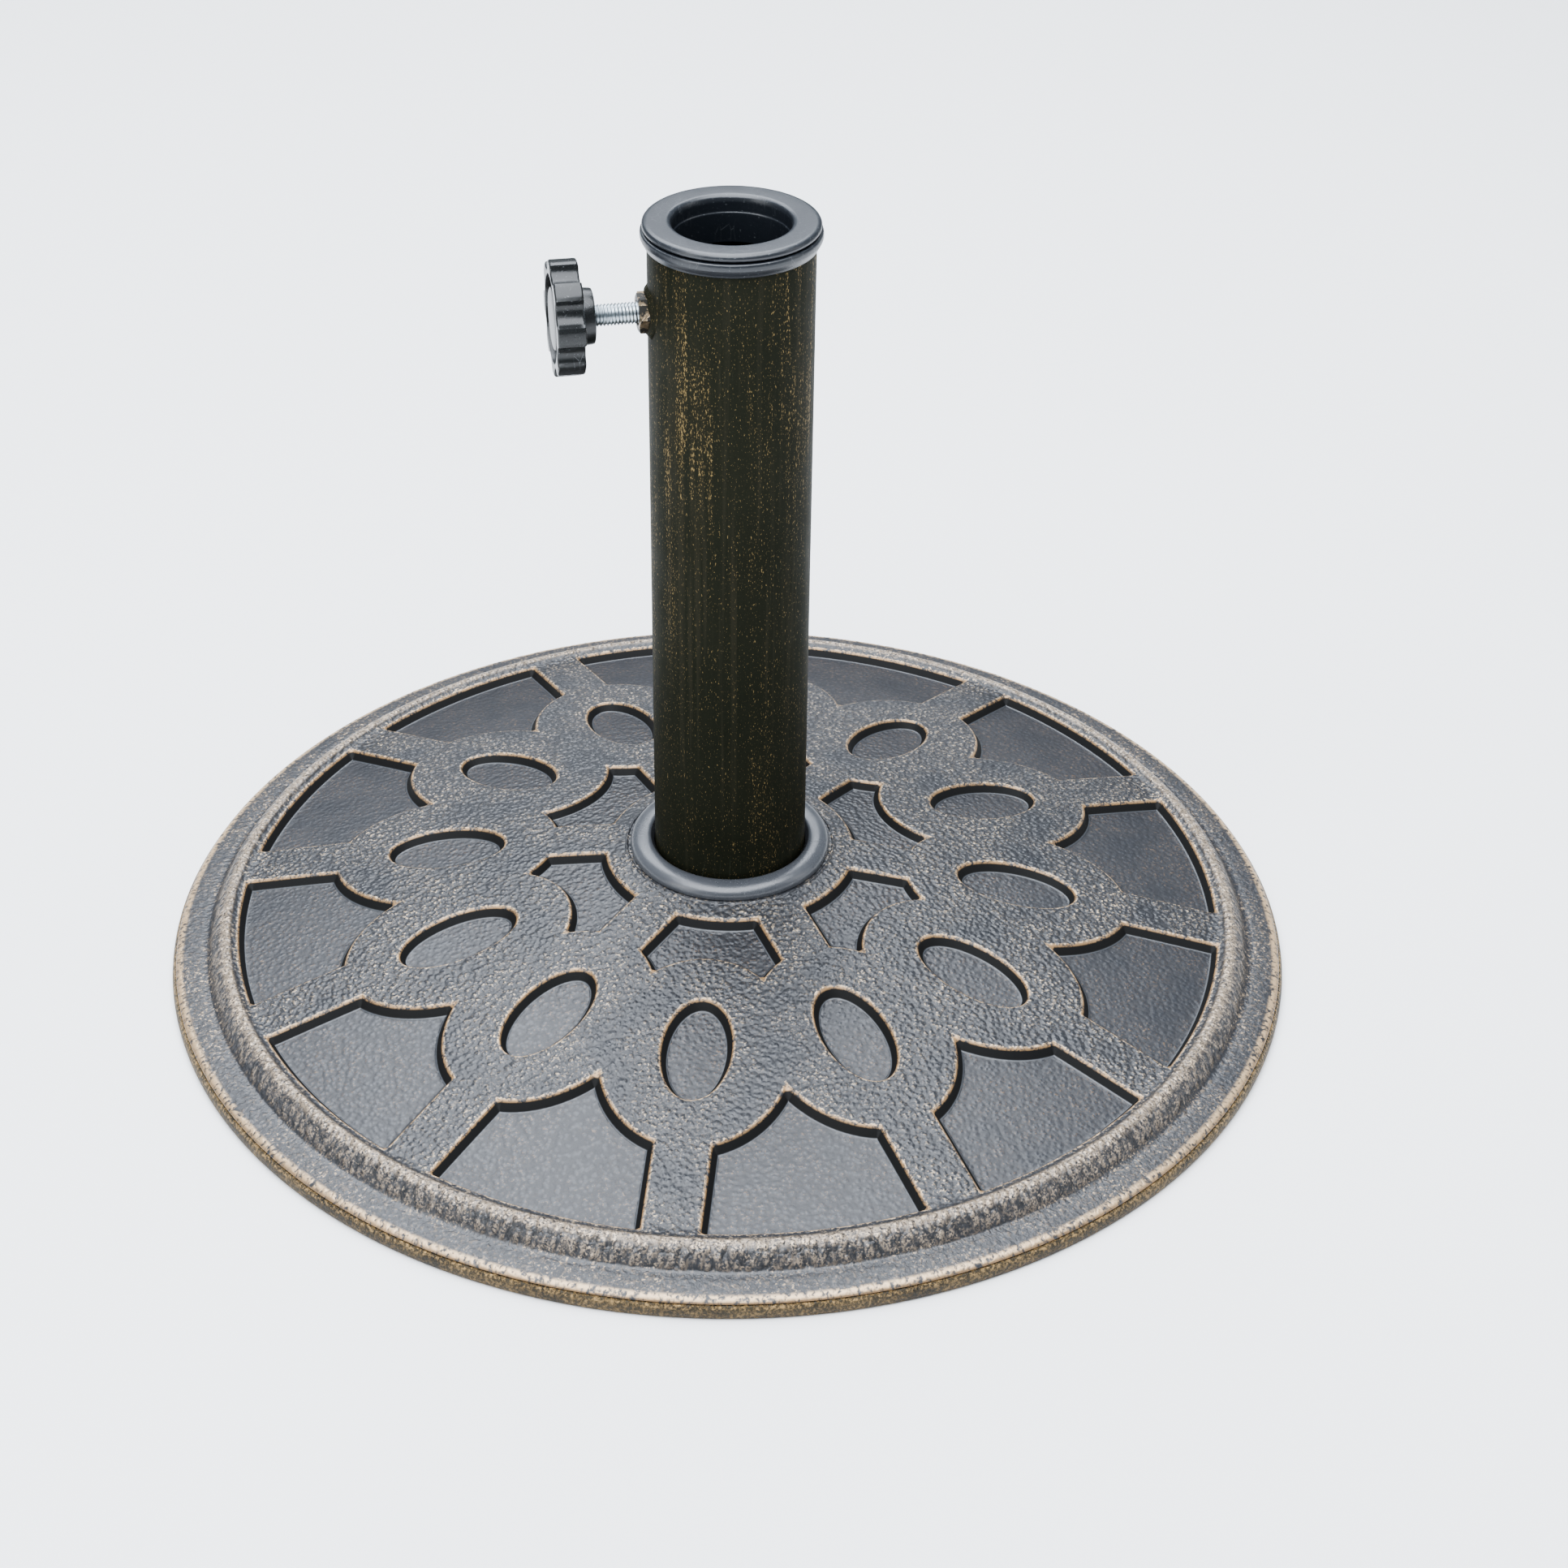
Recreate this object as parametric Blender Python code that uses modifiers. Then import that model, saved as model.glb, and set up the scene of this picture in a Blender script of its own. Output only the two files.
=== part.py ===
"""Parasol base: a round weighted foot with a relief top, an upright tube with a
removable pole reducer, and a screw clamp with a star knob.

Metres, +Z up. The origin is on the ground under the tube's centre line, and the
clamp screw points along -X.
"""
import math

import bmesh
import bpy

# ---------------------------------------------------------------- driving sizes
GAP = 0.0003                 # clearance kept between touching pieces

BASE_RADIUS = 0.225
RIM_EDGE_RADIUS = 0.2232     # where the top shell's rounded edge meets the pan
PAN_HEIGHT = 0.0055          # height of the pan's visible lower band
PAN_SHEET = 0.0025
BEAD_FOOT_RADIUS = 0.2103
BEAD_INNER_RADIUS = 0.1983
HUB_RADIUS = 0.0420          # flat seat under the collar
HUB_RING_RADIUS = 0.0495     # relief ring around that seat
HUB_HEIGHT = 0.0427
SHELL_DEPTH = 0.0080         # dome face to the shell's underside
RELIEF_DEPTH = 0.0040        # how far the windows lie below the dome face

PETAL_COUNT = 12
PETAL_PHASE = math.radians(13.7)
PETAL_CENTRE = 0.1160        # distance of a petal's centre from the tube's axis
PETAL_LENGTH = 0.0450        # radial semi-axis of a petal's outline
PETAL_WIDTH = 0.0360         # tangential semi-axis
OVAL_LENGTH = 0.0243
OVAL_WIDTH = 0.0137
OUTER_SPOKE_HALF = 0.0103
INNER_SPOKE_HALF = 0.0098

TUBE_RADIUS = 0.0300
TUBE_WALL = 0.0015
TUBE_FOOT = 0.0223           # height of the tube's lower end, in the ballast's socket
END_PLATE_HEIGHT = 0.0040
TUBE_TOP = 0.3045
COLLAR_RADIUS = 0.0400
COLLAR_HEIGHT = 0.0050

RING_LOW = 0.3012            # lower edge of the tube's end ring, outside the tube
RING_TOP = 0.3068
RING_SLEEVE_LOW = 0.2900     # lower edge of the ring's sleeve, inside the tube
RING_RADIUS = 0.0324
REDUCER_TOP = 0.3100
REDUCER_RADIUS = 0.0318
REDUCER_BORE = 0.0208
REDUCER_SLEEVE_RADIUS = 0.0240
REDUCER_SLEEVE_LENGTH = 0.0150

WELL_RADIUS = 0.0190         # recess under the base for the anchor bolt's head
WELL_HEIGHT = 0.0140
BOLT_RADIUS = 0.0050         # M10 anchor bolt
BOLT_LENGTH = 0.0300
BOLT_HEAD_FLATS = 0.0160
BOLT_HEAD_HEIGHT = 0.0064
BOLT_HOLE_RADIUS = 0.0056
ANCHOR_NUT_HEIGHT = 0.0080
ANCHOR_WASHER_RADIUS = 0.0150
ANCHOR_WASHER_HEIGHT = 0.0025
SPRING_WASHER_RADIUS = 0.0088
SPRING_WASHER_HEIGHT = 0.0022

SCREW_HEIGHT = 0.2770        # clamp screw's axis above the ground
SCREW_RADIUS = 0.00395       # M8 clamp screw, 1.25 mm pitch
SCREW_PITCH = 0.00125
SCREW_THREAD_DEPTH = 0.0006
SCREW_TIP = 0.0244           # distances below are along the screw, from the tube's axis
SCREW_HEAD_LOW = 0.0575
SCREW_HEAD_HIGH = 0.0622
NUT_FLATS = 0.0130
NUT_FACE = 0.0340
KNOB_BOSS_FACE = 0.0497
KNOB_BODY_FACE = 0.0546
KNOB_OUTER_FACE = 0.0647
KNOB_RADIUS = 0.0211
KNOB_VALLEY_RADIUS = 0.0175
KNOB_LOBES = 8
KNOB_PHASE = math.radians(4.7)
KNOB_BOSS_RADIUS = 0.0100
KNOB_RECESS_RADIUS = 0.0158
KNOB_RECESS_DEPTH = 0.0022
KNOB_CAP_RADIUS = 0.0113

PAN_SCREW_COUNT = 6
PAN_SCREW_RADIUS = 0.0020
PAN_SCREW_CIRCLE = 0.2030
PAN_SCREW_LENGTH = 0.0080
PAN_SCREW_HEAD_RADIUS = 0.0037
PAN_SCREW_SEAT = 0.0014      # depth of the head's sunk seat in the pan
SHELL_BOSS_RADIUS = 0.0042
SHELL_BOSS_TOP = 0.0110

DOME_STEPS = 60
TUBE_STEPS = 36
BALLAST_STEPS = 36
RING_STEPS = 36
SMALL_STEPS = 20

# Dome face of the shell: (radius, height), from the hub seat out to the bead.
DOME_PROFILE = [
    (HUB_RADIUS, HUB_HEIGHT),
    (0.0495, 0.0416),
    (0.0800, 0.0369),
    (0.1160, 0.0309),
    (0.1500, 0.0248),
    (0.1950, 0.0156),
]


# ---------------------------------------------------------------- small helpers
def clear_scene():
    """Remove every object that the file starts with."""
    for obj in list(bpy.data.objects):
        bpy.data.objects.remove(obj, do_unlink=True)


def new_collection(name):
    """Make a collection in the scene."""
    collection = bpy.data.collections.new(name)
    bpy.context.scene.collection.children.link(collection)
    return collection


def new_material(name, colour, roughness, metallic=0.0):
    """Make a Principled BSDF material."""
    material = bpy.data.materials.new(name)
    material.use_nodes = True
    shader = material.node_tree.nodes["Principled BSDF"]
    shader.inputs["Base Color"].default_value = (*colour, 1.0)
    shader.inputs["Roughness"].default_value = roughness
    shader.inputs["Metallic"].default_value = metallic
    material.diffuse_color = (*colour, 1.0)
    return material


def smooth(mesh, angle=35.0):
    """Shade a mesh smooth, with sharp edges past an angle in degrees."""
    mesh.shade_smooth()
    mesh.set_sharp_from_angle(angle=math.radians(angle))


def add_object(name, data, collection, material=None):
    """Put a mesh or a curve in the scene as a named object."""
    obj = bpy.data.objects.new(name, data)
    collection.objects.link(obj)
    if material is not None:
        data.materials.append(material)
    return obj


def as_cutter(obj):
    """Mark an object as one that only cuts others."""
    obj.hide_render = True
    obj.display_type = "WIRE"
    return obj


def boolean(obj, tool, operation="DIFFERENCE"):
    """Cut an object with a tool, or join the tool to it."""
    modifier = obj.modifiers.new(operation.lower() + "_" + tool.name, "BOOLEAN")
    modifier.operation = operation
    modifier.solver = "EXACT"
    modifier.object = tool
    return modifier


def turned(name, profile, collection, material=None, steps=DOME_STEPS):
    """Turn a profile of (radius, height) points about Z.

    The profile runs down the outer side. It then comes back up an inner side to where it
    started, or it starts and ends on the axis, with radius 0.
    """
    mesh = bpy.data.meshes.new(name)
    points = [(radius, 0.0, height) for radius, height in profile]
    on_axis = profile[0][0] == 0.0 and profile[-1][0] == 0.0
    edges = [(i, i + 1) for i in range(len(points) - 1)]
    if not on_axis:
        edges.append((len(points) - 1, 0))
    mesh.from_pydata(points, edges, [])
    obj = add_object(name, mesh, collection, material)
    screw = obj.modifiers.new("turn", "SCREW")
    screw.axis = "Z"
    screw.angle = math.tau
    screw.steps = steps
    screw.render_steps = steps
    screw.use_merge_vertices = True
    screw.merge_threshold = 0.00001
    screw.use_smooth_shade = True
    return obj


def plate(name, outlines, low, high, collection, material=None):
    """Extrude flat outlines between two heights; an outline inside another is a hole."""
    curve = bpy.data.curves.new(name + "_outline", "CURVE")
    curve.dimensions = "2D"
    curve.fill_mode = "BOTH"
    curve.extrude = (high - low) / 2
    for outline in outlines:
        spline = curve.splines.new("POLY")
        spline.points.add(len(outline) - 1)
        for point, (x, y) in zip(spline.points, outline):
            point.co = (x, y, 0.0, 1.0)
        spline.use_cyclic_u = True
    flat = add_object(name + "_outline", curve, collection)
    bpy.context.view_layer.update()
    evaluated = flat.evaluated_get(bpy.context.evaluated_depsgraph_get())
    mesh = bpy.data.meshes.new_from_object(evaluated)
    bpy.data.objects.remove(flat, do_unlink=True)
    shape = bmesh.new()
    shape.from_mesh(mesh)
    bmesh.ops.remove_doubles(shape, verts=shape.verts, dist=0.000001)
    bmesh.ops.translate(shape, verts=shape.verts, vec=(0.0, 0.0, (low + high) / 2))
    bmesh.ops.recalc_face_normals(shape, faces=shape.faces)
    shape.to_mesh(mesh)
    shape.free()
    mesh.name = name
    smooth(mesh)
    return add_object(name, mesh, collection, material)


def cylinder(name, radius, low, high, collection, material=None, steps=SMALL_STEPS):
    """A closed cylinder along Z between two heights."""
    shape = bmesh.new()
    bmesh.ops.create_cone(
        shape, cap_ends=True, segments=steps, radius1=radius, radius2=radius,
        depth=high - low)
    bmesh.ops.translate(shape, verts=shape.verts, vec=(0.0, 0.0, (low + high) / 2))
    mesh = bpy.data.meshes.new(name)
    shape.to_mesh(mesh)
    shape.free()
    smooth(mesh)
    return add_object(name, mesh, collection, material)


def circle(radius, steps, centre=(0.0, 0.0)):
    """Points of a circle."""
    return [(centre[0] + radius * math.cos(math.tau * i / steps),
             centre[1] + radius * math.sin(math.tau * i / steps)) for i in range(steps)]


def hexagon(flats):
    """Corners of a hexagon, by its width across flats."""
    corner = flats / math.sqrt(3.0)
    return circle(corner, 6)


def spin(point, angle):
    """Turn a flat point about the origin."""
    x, y = point
    return (x * math.cos(angle) - y * math.sin(angle), x * math.sin(angle) + y * math.cos(angle))


def along_screw(obj, distance):
    """Place an object built along +Z on the clamp screw's axis, at a distance from the tube's."""
    obj.location = (-distance, 0.0, SCREW_HEIGHT)
    obj.rotation_euler = (0.0, -math.pi / 2, 0.0)
    return obj


# ---------------------------------------------------------------- relief outlines
def petal_point(length, width, angle):
    """A point of an ellipse at the petal's centre, with +X as the petal's own radius."""
    return (PETAL_CENTRE + length * math.cos(angle), width * math.sin(angle))


def cusp_angles():
    """Where a petal's outline meets its neighbour's: the outer and the inner angle."""
    slope = math.tan(math.pi / PETAL_COUNT)
    # slope * (centre + length cos a) = width sin a, as one phase-shifted sine
    reach = math.hypot(PETAL_WIDTH, slope * PETAL_LENGTH)
    lag = math.atan2(slope * PETAL_LENGTH, PETAL_WIDTH)
    base = math.asin(slope * PETAL_CENTRE / reach)
    return base + lag, math.pi - base + lag


def oval_outline(steps=16):
    """The oval window in a petal."""
    return [petal_point(OVAL_LENGTH, OVAL_WIDTH, math.tau * i / steps) for i in range(steps)]


def mirrored(points, axis_angle):
    """Mirror flat points about a line through the origin, in reverse order."""
    result = []
    for x, y in reversed(points):
        x, y = spin((x, y), -axis_angle)
        result.append(spin((x, -y), axis_angle))
    return result


def outer_window_outline():
    """The window between two outer spokes, two petals and the bead."""
    half_step = math.pi / PETAL_COUNT
    side = math.asin(OUTER_SPOKE_HALF / BEAD_INNER_RADIUS)
    points = []
    for i in range(4):
        angle = half_step + (side - half_step) * i / 3
        points.append((BEAD_INNER_RADIUS * math.cos(angle), BEAD_INNER_RADIUS * math.sin(angle)))
    start = math.asin(OUTER_SPOKE_HALF / PETAL_WIDTH)
    end = cusp_angles()[0]
    for i in range(6):
        points.append(petal_point(PETAL_LENGTH, PETAL_WIDTH, start + (end - start) * i / 5))
    return points[::-1] + mirrored(points, half_step)[::-1][1:-1]


def inner_window_outline():
    """The window between two inner spokes, the hub ring and three petals."""
    step = math.tau / PETAL_COUNT
    side = math.asin(INNER_SPOKE_HALF / HUB_RING_RADIUS)
    points = []
    for i in range(4):
        angle = (step - side) * i / 3
        points.append((HUB_RING_RADIUS * math.cos(angle), HUB_RING_RADIUS * math.sin(angle)))
    start = math.pi + math.asin(INNER_SPOKE_HALF / PETAL_WIDTH)
    end = math.tau - cusp_angles()[1]
    for i in range(4):
        point = petal_point(PETAL_LENGTH, PETAL_WIDTH, start + (end - start) * i / 3)
        points.append(spin(point, step))
    start = cusp_angles()[1]
    for i in range(1, 5):
        angle = start + (math.pi - start) * i / 4
        points.append(petal_point(PETAL_LENGTH, PETAL_WIDTH, angle))
    return points + mirrored(points, 0.0)[1:-1]


def relief_cutter(cutters):
    """All the windows as prisms, kept above a dome that lies one relief depth down."""
    outlines = []
    for k in range(PETAL_COUNT):
        angle = PETAL_PHASE + math.tau * k / PETAL_COUNT
        outlines.append([spin(point, angle) for point in outer_window_outline()])
        outlines.append([spin(point, angle) for point in oval_outline()])
        if k % 2 == 0:
            outlines.append([spin(point, angle) for point in inner_window_outline()])
    windows = as_cutter(plate("relief_windows", outlines, 0.0, 0.0600, cutters))
    floor = [(radius, height - RELIEF_DEPTH) for radius, height in DOME_PROFILE]
    inner_radius = 0.0300
    outer_radius = 0.2050
    profile = [(inner_radius, floor[0][1])] + floor + [(outer_radius, floor[-1][1] - 0.0018)]
    profile += [(outer_radius, -0.0100), (inner_radius, -0.0100)]
    floor_dome = as_cutter(turned("relief_floor", profile, cutters))
    boolean(windows, floor_dome)
    return windows


# ---------------------------------------------------------------- weighted foot
def shell_profile():
    """Section of the moulded top shell, down its outer face and back up its underside."""
    hole = TUBE_RADIUS + GAP
    lip = [(0.0408, HUB_HEIGHT), (0.0412, HUB_HEIGHT + 0.0008), (0.0420, HUB_HEIGHT + 0.0004)]
    bead = [
        (0.1990, 0.0156), (0.2022, 0.0165), (0.2045, 0.0159), (0.2062, 0.0147),
        (0.2080, 0.0122), (0.2094, 0.0098), (BEAD_FOOT_RADIUS, 0.0084),
    ]
    rim = [(0.2202, 0.0076), (0.2222, 0.0070), (RIM_EDGE_RADIUS, PAN_HEIGHT + GAP)]
    skirt = [
        (0.2212, PAN_HEIGHT + GAP), (0.2212, 0.0030), (0.2184, 0.0030),
        (0.2180, 0.0052), (0.2080, 0.0056), (0.2060, 0.0088), (0.1985, 0.0090), (0.1950, 0.0076),
    ]
    underside = [(radius, height - SHELL_DEPTH) for radius, height in DOME_PROFILE[-2:0:-1]]
    face = [(hole, HUB_HEIGHT)] + lip + DOME_PROFILE[1:] + bead + rim
    return face + skirt + underside + [(hole, HUB_HEIGHT - SHELL_DEPTH)]


def base_shell(parts, cutters, material):
    """Moulded top shell with the petal relief, and screw bosses on its underside."""
    shell = turned("base_shell", shell_profile(), parts, material)
    for i in range(PAN_SCREW_COUNT):
        boss = as_cutter(cylinder("shell_boss_%d" % (i + 1), SHELL_BOSS_RADIUS, PAN_SHEET + GAP,
                                  SHELL_BOSS_TOP, cutters, steps=10))
        boss.location = pan_screw_place(i)
        boolean(shell, boss, "UNION")
        pilot = as_cutter(cylinder("shell_pilot_%d" % (i + 1), PAN_SCREW_RADIUS + GAP,
                                   0.0, SHELL_BOSS_TOP - 0.0005, cutters, steps=12))
        pilot.location = pan_screw_place(i)
        boolean(shell, pilot)
    boolean(shell, relief_cutter(cutters))
    return shell


def ballast_fill(parts, material):
    """Cement fill under the shell, with a socket for the tube's foot."""
    top = [(radius, height - SHELL_DEPTH - GAP) for radius, height in DOME_PROFILE[1:-1]]
    socket = TUBE_RADIUS + 2 * GAP
    well = WELL_RADIUS + PAN_SHEET + GAP
    well_top = WELL_HEIGHT + PAN_SHEET + GAP
    foot = PAN_SHEET + GAP
    profile = [(socket, top[0][1] + 0.0010)] + top
    profile += [(0.1930, 0.0075), (0.1930, foot), (well, foot), (well, well_top)]
    socket_floor = TUBE_FOOT - GAP
    profile += [(BOLT_HOLE_RADIUS, well_top), (BOLT_HOLE_RADIUS, socket_floor), (socket, socket_floor)]
    return turned("ballast_fill", profile, parts, material, BALLAST_STEPS)


def base_pan(parts, cutters, material):
    """Bottom pan: the visible lower band, the floor, and the well for the anchor bolt."""
    outer = [(0.2237, PAN_HEIGHT), (0.2246, 0.0038), (BASE_RADIUS, 0.0020), (0.2243, 0.0)]
    well = [
        (WELL_RADIUS, 0.0), (WELL_RADIUS, WELL_HEIGHT), (BOLT_HOLE_RADIUS, WELL_HEIGHT),
        (BOLT_HOLE_RADIUS, WELL_HEIGHT + PAN_SHEET), (WELL_RADIUS + PAN_SHEET, WELL_HEIGHT + PAN_SHEET),
        (WELL_RADIUS + PAN_SHEET, PAN_SHEET),
    ]
    lip = [(0.2216, PAN_SHEET), (0.2216, PAN_HEIGHT)]
    pan = turned("base_pan", outer + well + lip, parts, material)
    for i in range(PAN_SCREW_COUNT):
        hole = as_cutter(cylinder("pan_hole_%d" % (i + 1), PAN_SCREW_RADIUS + GAP,
                                  -0.0010, 2 * PAN_SHEET, cutters, steps=12))
        hole.location = pan_screw_place(i)
        boolean(pan, hole)
        seat = as_cutter(cylinder("pan_seat_%d" % (i + 1), PAN_SCREW_HEAD_RADIUS + GAP,
                                  -0.0010, PAN_SCREW_SEAT, cutters, steps=16))
        seat.location = pan_screw_place(i)
        boolean(pan, seat)
    return pan


def pan_screw_place(index):
    """Where a pan screw stands."""
    angle = math.tau * (index + 0.5) / PAN_SCREW_COUNT
    return (PAN_SCREW_CIRCLE * math.cos(angle), PAN_SCREW_CIRCLE * math.sin(angle), 0.0)


def pan_screw(index, parts, material):
    """Self-tapping screw that holds the pan to the shell; its head is sunk in the pan."""
    head_low = 0.0002
    head_high = PAN_SCREW_SEAT - GAP
    head_radius = PAN_SCREW_HEAD_RADIUS
    tip = head_high + PAN_SCREW_LENGTH
    profile = [
        (0.0, tip), (PAN_SCREW_RADIUS * 0.6, tip - 0.0008), (PAN_SCREW_RADIUS, tip - 0.0022),
        (PAN_SCREW_RADIUS, head_high), (head_radius, head_high), (head_radius, head_low + 0.0004),
        (head_radius - 0.0005, head_low), (0.0, head_low),
    ]
    screw = turned("pan_screw_%d" % (index + 1), profile, parts, material, 12)
    screw.location = pan_screw_place(index)
    return screw


# ---------------------------------------------------------------- upright tube
def hub_collar(parts, material):
    """Rounded plastic collar around the tube's foot."""
    low = HUB_HEIGHT + GAP
    shoulder = low + 0.0008
    rise = COLLAR_HEIGHT - 0.0008
    bore = TUBE_RADIUS + GAP
    centre = (COLLAR_RADIUS + bore) / 2
    half = COLLAR_RADIUS - centre
    profile = []
    for i in range(7):
        angle = math.pi * i / 6
        profile.append((centre - half * math.cos(angle), shoulder + rise * math.sin(angle)))
    profile += [(COLLAR_RADIUS, low), (bore, low)]
    return turned("hub_collar", profile, parts, material, RING_STEPS)


def stand_tube(parts, cutters, material):
    """Steel tube with the clamp screw's hole near its top."""
    inner = TUBE_RADIUS - TUBE_WALL
    profile = [(TUBE_RADIUS, TUBE_TOP), (TUBE_RADIUS, TUBE_FOOT), (inner, TUBE_FOOT), (inner, TUBE_TOP)]
    tube = turned("stand_tube", profile, parts, material, TUBE_STEPS)
    hole = as_cutter(cylinder("tube_screw_hole", SCREW_RADIUS + 0.0008, TUBE_RADIUS - 0.0100,
                              TUBE_RADIUS + 0.0100, cutters, steps=16))
    hole.location = (0.0, 0.0, SCREW_HEIGHT)
    hole.rotation_euler = (0.0, -math.pi / 2, 0.0)
    boolean(tube, hole)
    return tube


def tube_end_plate(parts, material):
    """Round plate welded into the tube's foot."""
    low = TUBE_FOOT
    high = low + END_PLATE_HEIGHT
    outlines = [circle(TUBE_RADIUS - TUBE_WALL - 2 * GAP, TUBE_STEPS), circle(BOLT_HOLE_RADIUS, 16)]
    return plate("tube_end_plate", outlines, low, high, parts, material)


def end_plate_nut(parts, material):
    """M10 nut on the end plate, for the anchor bolt."""
    low = TUBE_FOOT + END_PLATE_HEIGHT + GAP
    outlines = [hexagon(BOLT_HEAD_FLATS), circle(BOLT_RADIUS + 0.0004, 16)]
    return plate("end_plate_nut", outlines, low, low + ANCHOR_NUT_HEIGHT, parts, material)


def anchor_fasteners(parts, cutters, material):
    """Large washer, spring washer and M10 bolt in the well under the base."""
    washer_top = WELL_HEIGHT - GAP
    washer_low = washer_top - ANCHOR_WASHER_HEIGHT
    bore = BOLT_RADIUS + 0.0004
    plate("anchor_washer", [circle(ANCHOR_WASHER_RADIUS, 24), circle(bore, 16)],
          washer_low, washer_top, parts, material)
    spring_top = washer_low - GAP
    spring_low = spring_top - SPRING_WASHER_HEIGHT
    plate("anchor_spring_washer", [circle(SPRING_WASHER_RADIUS, 20), circle(bore, 16)],
          spring_low, spring_top, parts, material)
    head_top = spring_low - GAP
    bolt = plate("anchor_bolt", [hexagon(BOLT_HEAD_FLATS)], head_top - BOLT_HEAD_HEIGHT, head_top,
                 parts, material)
    shank = cylinder("anchor_shank", BOLT_RADIUS, head_top - 0.0020, head_top + BOLT_LENGTH,
                     cutters, steps=16)
    boolean(bolt, as_cutter(shank), "UNION")
    return bolt


def tube_end_ring(parts, material):
    """Plastic ring that closes the tube's top and guides the pole reducer."""
    tube_inner = TUBE_RADIUS - TUBE_WALL
    sleeve_outer = tube_inner - GAP
    sleeve_inner = REDUCER_SLEEVE_RADIUS + GAP
    skirt_inner = TUBE_RADIUS + GAP
    shelf = TUBE_TOP + GAP
    low = RING_LOW
    sleeve_low = RING_SLEEVE_LOW
    profile = [
        (RING_RADIUS - 0.0008, RING_TOP), (RING_RADIUS, RING_TOP - 0.0008),
        (RING_RADIUS, RING_TOP - 0.0026), (RING_RADIUS - 0.0010, low + 0.0012), (0.0309, low),
        (skirt_inner, low), (skirt_inner, shelf), (sleeve_outer, shelf), (sleeve_outer, sleeve_low),
        (sleeve_inner + 0.0012, sleeve_low), (sleeve_inner, sleeve_low + 0.0012),
        (sleeve_inner, RING_TOP),
    ]
    return turned("tube_end_ring", profile, parts, material, RING_STEPS)


def pole_reducer(parts, material):
    """Lift-out plastic reducer: a wide flange with a short sleeve."""
    low = RING_TOP + GAP
    edge = REDUCER_RADIUS
    top = REDUCER_TOP
    foot = low - REDUCER_SLEEVE_LENGTH
    profile = [
        (REDUCER_BORE + 0.0018, top), (edge - 0.0014, top - 0.0001), (edge - 0.0004, top - 0.0006),
        (edge, top - 0.0015), (edge - 0.0004, low + 0.0004), (edge - 0.0012, low),
        (REDUCER_SLEEVE_RADIUS, low), (REDUCER_SLEEVE_RADIUS, foot), (REDUCER_BORE, foot),
        (REDUCER_BORE, top - 0.0024), (REDUCER_BORE + 0.0004, top - 0.0008),
    ]
    reducer = turned("pole_reducer", [(r, z - low) for r, z in profile], parts, material, RING_STEPS)
    reducer.location = (0.0, 0.0, low)
    return reducer


# ---------------------------------------------------------------- screw clamp
def clamp_nut(parts, material):
    """M8 nut welded on the outside of the tube."""
    outlines = [hexagon(NUT_FLATS), circle(SCREW_RADIUS + 0.0003, 16)]
    height = NUT_FACE - TUBE_RADIUS - GAP
    nut = plate("clamp_nut", outlines, 0.0, height, parts, material)
    return along_screw(nut, TUBE_RADIUS + GAP)


def clamp_nut_weld(parts, cutters, material):
    """Weld fillet between the clamp nut and the tube."""
    fillet = [
        (0.0076, 0.0032), (0.0086, 0.0026), (0.0094, 0.0014), (0.0106, 0.0001), (0.0106, -0.0030),
        (0.0060, -0.0030), (0.0060, 0.0032),
    ]
    weld = turned("clamp_nut_weld", fillet, parts, material, 24)
    along_screw(weld, TUBE_RADIUS)
    reach = 0.0200
    tube_room = cylinder("weld_tube_room", TUBE_RADIUS + GAP, SCREW_HEIGHT - reach, SCREW_HEIGHT + reach,
                         cutters, steps=TUBE_STEPS)
    boolean(weld, as_cutter(tube_room))
    nut_room = as_cutter(plate("weld_nut_room", [hexagon(NUT_FLATS + 2 * GAP)], -reach, reach, cutters))
    along_screw(nut_room, TUBE_RADIUS)
    boolean(weld, nut_room)
    return weld


def clamp_screw(parts, cutters, material):
    """M8 hex-head screw; its thread is drawn as rings at the thread's pitch."""
    length = SCREW_HEAD_LOW - SCREW_TIP
    root = SCREW_RADIUS - SCREW_THREAD_DEPTH
    profile = [(0.0, length + 0.0010), (root, length + 0.0010)]
    turns = int((KNOB_BOSS_FACE - SCREW_TIP - 0.0010) / SCREW_PITCH)
    for i in range(turns, 0, -1):
        ring = 0.0006 + i * SCREW_PITCH
        profile += [(root, ring + SCREW_PITCH / 2), (SCREW_RADIUS, ring)]
    profile += [(root, 0.0006), (root - 0.0006, 0.0), (0.0, 0.0)]
    screw = turned("clamp_screw", profile, parts, material, 12)
    along_screw(screw, SCREW_TIP)
    head = plate("clamp_screw_head", [hexagon(NUT_FLATS)], length, SCREW_HEAD_HIGH - SCREW_TIP, cutters)
    along_screw(as_cutter(head), SCREW_TIP)
    boolean(screw, head, "UNION")
    return screw


def lobe_outline():
    """Star outline: eight round-shouldered lobes with scooped valleys between them."""
    points = []
    lobe_half = 0.225
    valley_half = math.pi / KNOB_LOBES - lobe_half
    for k in range(KNOB_LOBES):
        centre = KNOB_PHASE + math.tau * k / KNOB_LOBES
        for i in range(4):
            points.append((KNOB_RADIUS, centre + lobe_half * (2 * i / 3 - 1) * 0.82))
        for i in range(5):
            swing = i / 4 * 2 - 1
            depth = (KNOB_RADIUS - 0.0012 - KNOB_VALLEY_RADIUS) * (1 - swing * swing)
            angle = centre + math.pi / KNOB_LOBES + swing * valley_half
            points.append((KNOB_RADIUS - 0.0012 - depth, angle))
    return [(radius * math.cos(angle), radius * math.sin(angle)) for radius, angle in points]


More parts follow.
